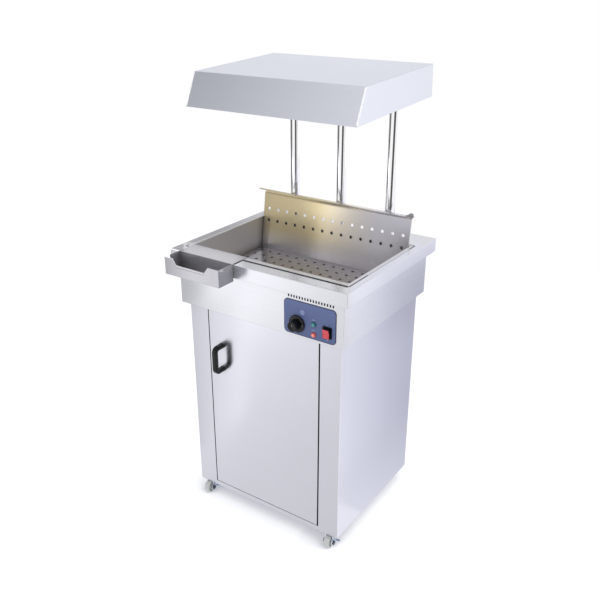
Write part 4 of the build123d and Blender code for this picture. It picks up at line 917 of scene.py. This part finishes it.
# Upturned corner at the right end of the insert's lip
CORNER_OUTLINE = ((-30, -1), (0, -1), (0, 8), (-3, 11), (-8, 11.6), (-13, 9), (-19, 4.6), (-25, 1))
CORNER_FROM_REAR = 9.5 * MM
CORNER_THICK = 1.2 * MM
corner_shape = bmesh.new()
corner_frame = on_front(insert_high.x, insert_high.y - CORNER_FROM_REAR, insert_high.z)
slab(corner_shape, in_mm(CORNER_OUTLINE), 0, CORNER_THICK, corner_frame)
add_piece("insert_corner", corner_shape, [insert_steel], "insert")

# Folded hem under the holder's notch, in a lighter steel as painted light on the fold, with a dark metal
# strip below as its painted shadow
HEM_SPAN = (-221.0 * MM, -119.0 * MM)
HEM_FROM_TOP = 18 * MM
HEM_HEIGHT = 4.0 * MM
HEM_CORNER = 0.5 * MM
HEM_DEPTHS = (-0.2 * MM, 0.9 * MM)
HEM_SHADOW_HEIGHT = 1.4 * MM
HEM_SHADOW_SHORTER = 6 * MM
HEM_SHADOW_DEPTHS = (-0.2 * MM, 0.15 * MM)
hem_middle = sum(HEM_SPAN) / 2
hem_length = HEM_SPAN[1] - HEM_SPAN[0]
hem_shape = bmesh.new()
hem_frame = on_front(0, holder_low.y, holder_high.z - HEM_FROM_TOP - HEM_HEIGHT / 2)
hem_outline = rectangle(hem_middle, 0, hem_length, HEM_HEIGHT, HEM_CORNER)
slab(hem_shape, hem_outline, *HEM_DEPTHS, hem_frame)
hem_shadow_drop = (HEM_HEIGHT + HEM_SHADOW_HEIGHT) / 2
hem_shadow_outline = rectangle(hem_middle, -hem_shadow_drop, hem_length - HEM_SHADOW_SHORTER, HEM_SHADOW_HEIGHT)
slab(hem_shape, hem_shadow_outline, *HEM_SHADOW_DEPTHS, hem_frame, finish=1)
add_piece("holder_hem", hem_shape, [lit_hem_steel, nut_metal_and_hem_shadow], "holder")

# Castor wheels: a crowned tread, a web with ribs and a hub
WHEEL_RIBS = 6
WHEEL_SIDES = 56
RIB_MIDDLE = 11.8 * MM
RIB_SIZE = (7.4 * MM, 1.6 * MM)
RIB_DEPTHS = ((5.1 * MM, 7.4 * MM), (-7.4 * MM, -5.1 * MM))
half_wheel = [(4.1, 8.5), (8.1, 8.5), (8.5, 8.1), (8.9, 5.9), (14.9, 5.5), (15.4, 8.1), (16.0, 8.5)]
half_wheel += [(18.6, 8.5), (19.4, 8.2), (19.9, 7.6), (20.0, 6.8), (20.0, 2.5)]
wheel_profile = half_wheel + [(r, -h) for r, h in reversed(half_wheel)]
for corner in ("front_left", "front_right", "rear_left", "rear_right"):
    spin = joints[f"wheel_spin_{corner}"]
    axle = Vector(spin["axis"])
    wheel_frame = axes(spin["pos_m"], (0, 0, 1), axle.cross(Vector((0, 0, 1))))
    wheel_shape = bmesh.new()
    rings = []
    for radius, height in in_mm(wheel_profile):
        circle = ring_outline(0, 0, radius, WHEEL_SIDES)
        rings.append([wheel_frame @ Vector((x, y, height)) for x, y in circle])
    skin(wheel_shape, rings, closed=True)
    for rib in range(WHEEL_RIBS):
        spoke = Matrix.Rotation(2 * pi * rib / WHEEL_RIBS, 4, "Z")
        for depths in RIB_DEPTHS:
            slab(wheel_shape, rectangle(RIB_MIDDLE, 0, *RIB_SIZE), *depths, wheel_frame @ spoke)
    node = f"castor_wheel_{corner}"
    add_piece(f"{node}_tyre", wheel_shape, [wheel_plastic], f"wheel_{corner}", [node])

# Heat lamps: a silvered reflector bulb with a frosted face
HOOD_TILT = radians(3)
HOOD_ROOT = Vector((0, 0.2555, 1.280))
SOCKET_LOW = 49.3 * MM
LAMP_BACK = 299 * MM
LAMP_OFFSET = 124 * MM
LAMP_SIDES = 56
THREADS = 8
hood_up = Vector((0, -sin(HOOD_TILT), cos(HOOD_TILT)))
hood_rear = Vector((0, cos(HOOD_TILT), sin(HOOD_TILT)))
bulb = [(6.0, 18.0), (12.6, 17.6), (13.4, 16.5)]
for thread in range(THREADS):
    bulb += [(13.4, 16.0 - 2 * thread), (12.6, 15.0 - 2 * thread)]
bulb += [(13.5, 0.0), (16.6, -0.4), (18.0, -5.0), (21.5, -17.0), (27.0, -33.0), (33.5, -49.0)]
bulb += [(38.6, -59.0), (40.0, -62.0)]
face = [(40.0, -62.0), (39.9, -64.0), (39.2, -66.5), (36.5, -68.6), (31.0, -70.6), (24.0, -72.3)]
face += [(16.0, -73.4), (8.0, -73.9), (1.0, -74.0)]
for name, x in (("heat_lamp_left", -LAMP_OFFSET), ("heat_lamp_right", LAMP_OFFSET)):
    root = HOOD_ROOT + Vector((x, 0, 0)) - LAMP_BACK * hood_rear + SOCKET_LOW * hood_up
    lamp_frame = axes(root, (1, 0, 0), hood_rear)
    lamp_shape = bmesh.new()
    lathe(lamp_shape, in_mm(bulb), lamp_frame, LAMP_SIDES)
    lathe(lamp_shape, in_mm(face), lamp_frame, LAMP_SIDES, finish=1)
    add_piece(f"{name}_bulb", lamp_shape, [lamp_silver, lamp_glass], "base", [name])

# Weld beads down the hood's two front corners, near white as a painted highlight along them
HOOD_BEAD_RADIUS = 2.25 * MM
HOOD_BEAD_SIDES = 16
HOOD_BEAD_INSET = 2.0 * MM
HOOD_BEAD_ENDS = 3 * MM
HOOD_HALF = 270 * MM
HOOD_TOP_DEPTH = 368 * MM
HOOD_RAKE = 46 * MM
HOOD_HEIGHT = 87.5 * MM
bead_shape = bmesh.new()
for side in (-1, 1):
    corner_x = side * (HOOD_HALF - HOOD_BEAD_INSET)
    low = HOOD_ROOT - (HOOD_TOP_DEPTH + HOOD_RAKE - HOOD_BEAD_INSET) * hood_rear
    high = HOOD_ROOT - (HOOD_TOP_DEPTH - HOOD_BEAD_INSET) * hood_rear + HOOD_HEIGHT * hood_up
    along = (high - low).normalized()
    bead_frame = axes(low + Vector((corner_x, 0, 0)), (1, 0, 0), along.cross(Vector((1, 0, 0))))
    bead_outline = ring_outline(0, 0, HOOD_BEAD_RADIUS, HOOD_BEAD_SIDES)
    bead_top = (high - low).length - HOOD_BEAD_ENDS
    slab(bead_shape, bead_outline, HOOD_BEAD_ENDS, bead_top, bead_frame)
add_piece("hood_highlight_beads", bead_shape, [highlight_steel], "base")

# Pan-head screws that hold the back panel to the flanges of the sides
SCREW_ROWS = 5
SCREW_MARGIN = 40 * MM
SCREW_INSET = 9 * MM
SCREW_SIDES = 24
screw_profile = [(3.9, 0.0), (4.0, 0.5), (3.7, 1.3), (3.0, 1.9), (2.0, 2.2), (1.4, 2.25)]
screw_profile += [(1.2, 1.2), (0.2, 1.1)]
back_low, back_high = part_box("cabinet_back")
side_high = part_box("cabinet_right_side")[1]
screw_span = back_high.z - back_low.z - 2 * SCREW_MARGIN
screw_shape = bmesh.new()
for side in (-1, 1):
    for row in range(SCREW_ROWS):
        height = back_low.z + SCREW_MARGIN + screw_span * row / (SCREW_ROWS - 1)
        spot = (side * (side_high.x - SCREW_INSET), side_high.y, height)
        screw_frame = axes(spot, (-1, 0, 0), (0, 0, 1))
        lathe(screw_shape, in_mm(screw_profile), screw_frame, SCREW_SIDES)
add_piece("back_screws", screw_shape, [zinc], "base")

# World: white where it is seen, and a plain level of light for the rest
WHITE = (1, 1, 1, 1)
WORLD_LIGHT = 0.60
WORLD_SEEN = 1.0
world = bpy.data.worlds.new("world")
scene.world = world
world.use_nodes = True
sky = world.node_tree
sky.nodes.clear()
path = add_node(sky, "ShaderNodeLightPath")
seen = math_node(sky, "MAXIMUM", path.outputs["Is Camera Ray"], path.outputs["Is Glossy Ray"])
seen = math_node(sky, "MAXIMUM", seen, path.outputs["Is Transmission Ray"])
sky_light = add_node(sky, "ShaderNodeBackground", {"Color": WHITE, "Strength": WORLD_LIGHT})
sky_seen = add_node(sky, "ShaderNodeBackground", {"Color": WHITE, "Strength": WORLD_SEEN})
sky_inputs = {0: seen, 1: sky_light.outputs[0], 2: sky_seen.outputs[0]}
sky_mix = add_node(sky, "ShaderNodeMixShader", sky_inputs)
add_node(sky, "ShaderNodeOutputWorld", {"Surface": sky_mix.outputs[0]})

# Floor: pale, with a soft shadow, and fading into the white around it
FLOOR_RADIUS = 4.0
FLOOR_SIDES = 64
FLOOR_DROP = 0.5 * MM
FLOOR_FADE = (1.1, 2.6)
FLOOR_COLOUR = (0.30, 0.30, 0.31, 1)
FLOOR_GLOW = (0.41, 0.84)
SHADE_COLOUR = (0.90, 0.93, 1, 1)
LIT_COLOUR = (0.98, 0.985, 1, 1)
SHADE_FROM = {"X": 0.55, "Y": -0.25, "Z": 0.8}
SHADE_REACH = 0.10
SHADE_RANGE = (0.48, 0.86)
SHADE_SAMPLES = 12
floor_mesh = bpy.data.meshes.new("floor")
floor_shape = bmesh.new()
bmesh.ops.create_circle(floor_shape, cap_ends=True, segments=FLOOR_SIDES, radius=FLOOR_RADIUS)
floor_shape.to_mesh(floor_mesh)
floor_shape.free()
floor = bpy.data.objects.new("floor", floor_mesh)
floor.location = (0, 0, -FLOOR_DROP)
scene.collection.objects.link(floor)
floor_material, ground = bare_material("floor")
distance = add_node(ground, "ShaderNodeVectorMath", {0: place(ground)}, operation="LENGTH")
fade = span(ground, distance.outputs["Value"], 0.0, 1.0, *FLOOR_FADE)
matt = add_node(ground, "ShaderNodeBsdfDiffuse", {"Color": FLOOR_COLOUR})
shade_from = add_node(ground, "ShaderNodeCombineXYZ", SHADE_FROM).outputs["Vector"]
shade_inputs = {"Distance": SHADE_REACH, "Normal": shade_from}
shade = add_node(ground, "ShaderNodeAmbientOcclusion", shade_inputs, samples=SHADE_SAMPLES)
lit = span(ground, shade.outputs["AO"], 0.0, 1.0, *SHADE_RANGE)
glow_level = span(ground, lit, *FLOOR_GLOW)
glow_colour = mix_colour(ground, lit, SHADE_COLOUR, LIT_COLOUR)
glow = add_node(ground, "ShaderNodeEmission", {"Color": glow_colour, "Strength": glow_level})
pale = add_node(ground, "ShaderNodeAddShader", {0: matt.outputs[0], 1: glow.outputs[0]})
clear = add_node(ground, "ShaderNodeBsdfTransparent")
cover = add_node(ground, "ShaderNodeMixShader", {0: fade, 1: pale.outputs[0], 2: clear.outputs[0]})
add_node(ground, "ShaderNodeOutputMaterial", {"Surface": cover.outputs[0]})
floor_mesh.materials.append(floor_material)


# Studio cards, which only reflections see: they give the steel and the chrome their tones
UP = (0, 0, 1)
EAST = (1, 0, 0)
NORTH = (0, 1, 0)
SOUTH = (0, -1, 0)
WEST = (-1, 0, 0)
LILAC = (0.86, 0.87, 1.0, 1.0)
PALE_LILAC = (0.93, 0.94, 1.0, 1.0)


def card(
    name, centre, across, up, width, height, levels, colour=WHITE, end_colour=None, one_sided=False
):
    """A card around a point, along two directions.

    Its level of light runs from side to side, through levels at even steps or at (share, level) stops.
    A one-sided card is clear from behind.
    """
    shape = bmesh.new()
    shape.faces.new([shape.verts.new((x, y, 0)) for x, y in rectangle(0, 0, width, height)])
    mesh = bpy.data.meshes.new(name)
    shape.to_mesh(mesh)
    shape.free()
    grey, tree = bare_material(name)
    parts = add_node(tree, "ShaderNodeSeparateXYZ", {"Vector": place(tree)})
    share = span(tree, parts.outputs["X"], 0.0, 1.0, -width / 2, width / 2)
    if not isinstance(levels[0], tuple):
        levels = [(k / (len(levels) - 1), level) for k, level in enumerate(levels)]
    peak = max(level for at, level in levels)
    ramp = add_node(tree, "ShaderNodeValToRGB", {"Fac": share})
    stops = ramp.color_ramp.elements
    while len(stops) < len(levels):
        stops.new(0.5)
    for stop, (at, level) in zip(stops, levels):
        stop.position = at
        stop.color = (level / peak, level / peak, level / peak, 1)
    hue = mix_colour(tree, share, colour, end_colour or colour)
    inputs = {0: 1.0, 6: ramp.outputs["Color"], 7: hue}
    shades = add_node(tree, "ShaderNodeMix", inputs, data_type="RGBA", blend_type="MULTIPLY")
    plain = add_node(tree, "ShaderNodeEmission", {"Color": shades.outputs[2], "Strength": peak})
    if one_sided:
        behind = add_node(tree, "ShaderNodeNewGeometry").outputs["Backfacing"]
        clear = add_node(tree, "ShaderNodeBsdfTransparent")
        sides = {0: behind, 1: plain.outputs[0], 2: clear.outputs[0]}
        plain = add_node(tree, "ShaderNodeMixShader", sides)
    add_node(tree, "ShaderNodeOutputMaterial", {"Surface": plain.outputs[0]})
    mesh.materials.append(grey)
    made = bpy.data.objects.new(name, mesh)
    made.matrix_world = axes(centre, across, up)
    scene.collection.objects.link(made)
    made.visible_camera = False
    made.visible_diffuse = False
    made.visible_shadow = False
    made.visible_transmission = False
    made.visible_volume_scatter = False


floor_stops = [(0, 0.78), (0.21, 0.85), (0.39, 0.97), (0.47, 0.99), (0.54, 1.18)]
floor_stops += [(0.61, 1.42), (0.68, 1.6), (1, 1.6)]
flange_stops = [(0, 1.34), (0.2, 1.10), (0.37, 1.12), (1, 1.1)]
deck_stops = [(0, 0.36), (0.377, 0.40), (0.465, 0.62), (0.563, 0.82), (0.69, 1.05), (0.745, 1.2)]
deck_stops += [(0.832, 1.45), (1, 1.35)]
left_stops = [(0, 0.2), (0.18, 0.9), (0.36, 1.2), (0.55, 1.15), (0.74, 1.4), (0.9, 2.5), (1, 3.2)]
right_stops = [(0, 3.2), (0.1, 2.6), (0.2, 1.7), (0.35, 1.15), (0.52, 1.0), (0.70, 1.0), (1, 1.2)]
well_front_levels = (0.68, 0.76, 0.82, 1.02, 1.6)
well_side_levels = (0.44, 0.44, 0.52)
holder_stops = [(0, 1.12), (0.5, 1.24), (0.82, 1.2), (1, 0.7)]
deck_right_levels = (1.08, 1.08)
floor_back_levels = (0.85, 0.58, 0.80, 0.66, 0.82, 0.58, 0.85)
front_slant = (0.39, 0.45, 0.8)
card("card_front", (-1.31, -1.53, 2.41), (0.76, -0.65, 0), front_slant, 1.6, 1.6, (0.15, 0.71, 1.0))
card("card_floor", (-0.8, -1.40, 0.0005), WEST, NORTH, 2.3, 2.4, floor_stops)
card("card_left_low", (-0.42, -0.44, 0.29), SOUTH, UP, 0.40, 0.58, (0.60, 0.80, 0.95, 1.07, 1.22))
card("card_left_high", (-0.42, -0.44, 0.72), SOUTH, UP, 0.40, 0.28, (0.46, 0.62, 0.76, 1.50, 1.65))
card("card_side", (0.47, 0.38, 0.3325), NORTH, UP, 0.56, 0.665, (1.12, 0.91, 0.70), PALE_LILAC, LILAC)
card("card_side_top", (0.465, 0.52, 0.53), NORTH, UP, 0.30, 0.27, (0.84, 0.56), LILAC)
card("card_rear_side", (0.47, 1.06, 0.3325), NORTH, UP, 0.80, 0.665, (0.70, 0.64), LILAC)
card("card_floor_side", (0.375, 0.40, 0.0005), NORTH, EAST, 0.8, 0.19, (1.0, 0.64), PALE_LILAC, LILAC)
card("card_flange", (0.47, 0.66, 0.7625), NORTH, UP, 1.20, 0.195, flange_stops, PALE_LILAC, LILAC)
card("card_deck", (-0.724, 0.715, 1.19), (0.826, 0.564, 0), UP, 1.3, 0.58, deck_stops)
card("card_well_left", (-0.4835, -0.27, 0.897), EAST, UP, 0.393, 0.09, left_stops)
card("card_well_right", (-0.106, -0.27, 0.897), EAST, UP, 0.362, 0.09, right_stops, WHITE, PALE_LILAC)
card("card_well_front", (-0.09, -0.155, 0.815), WEST, UP, 0.33, 0.09, well_front_levels, one_sided=True)
card("card_well_side", (-0.255, -0.003, 0.815), NORTH, UP, 0.30, 0.09, well_side_levels, one_sided=True)
card("card_holder", (-0.23, -0.12, 0.922), EAST, UP, 0.24, 0.074, holder_stops, one_sided=True)
card(
    "card_deck_right", (0.263, 0.05, 0.899), NORTH, UP, 0.42, 0.07, deck_right_levels, PALE_LILAC,
    one_sided=True,
)
card("card_hood_side", (1.25, 2.0, 1.1), (0.89, -0.45, 0), UP, 1.6, 1.2, (0.95, 1.15, 1.40))
card("card_floor_back", (0.0, 2.05, 0.0005), EAST, NORTH, 2.6, 2.6, floor_back_levels)
card("card_floor_west", (-2.05, 0.85, 0.0005), NORTH, EAST, 2.0, 2.0, (0.62, 0.80, 0.62, 0.78, 0.60))
card("flag_left", (-2.45, -0.75, 0.58), (0.54, -0.84, 0), UP, 2.5, 1.05, (0.15, 0.15))
card("flag_camera", (1.97, -1.70, 1.05), (0.69, 0.72, 0), UP, 2.1, 2.3, (0.10, 0.10))


# Studio lamps
def softbox(name, place_at, aim_at, size, power):
    """A square area lamp that looks at a point."""
    data = bpy.data.lights.new(name, "AREA")
    data.shape = "SQUARE"
    data.size = size
    data.energy = power
    lamp = bpy.data.objects.new(name, data)
    lamp.location = place_at
    lamp.rotation_euler = (Vector(aim_at) - Vector(place_at)).to_track_quat("-Z", "Y").to_euler()
    scene.collection.objects.link(lamp)
    lamp.visible_glossy = False


softbox("key", (2.6, 0.9, 2.2), (0, 0, 0.7), 2.0, 45)
softbox("front", (-0.4, -3.4, 2.8), (0, 0, 0.7), 2.4, 35)
softbox("top", (-0.6, 0.6, 3.6), (0, 0, 0.8), 2.4, 30)
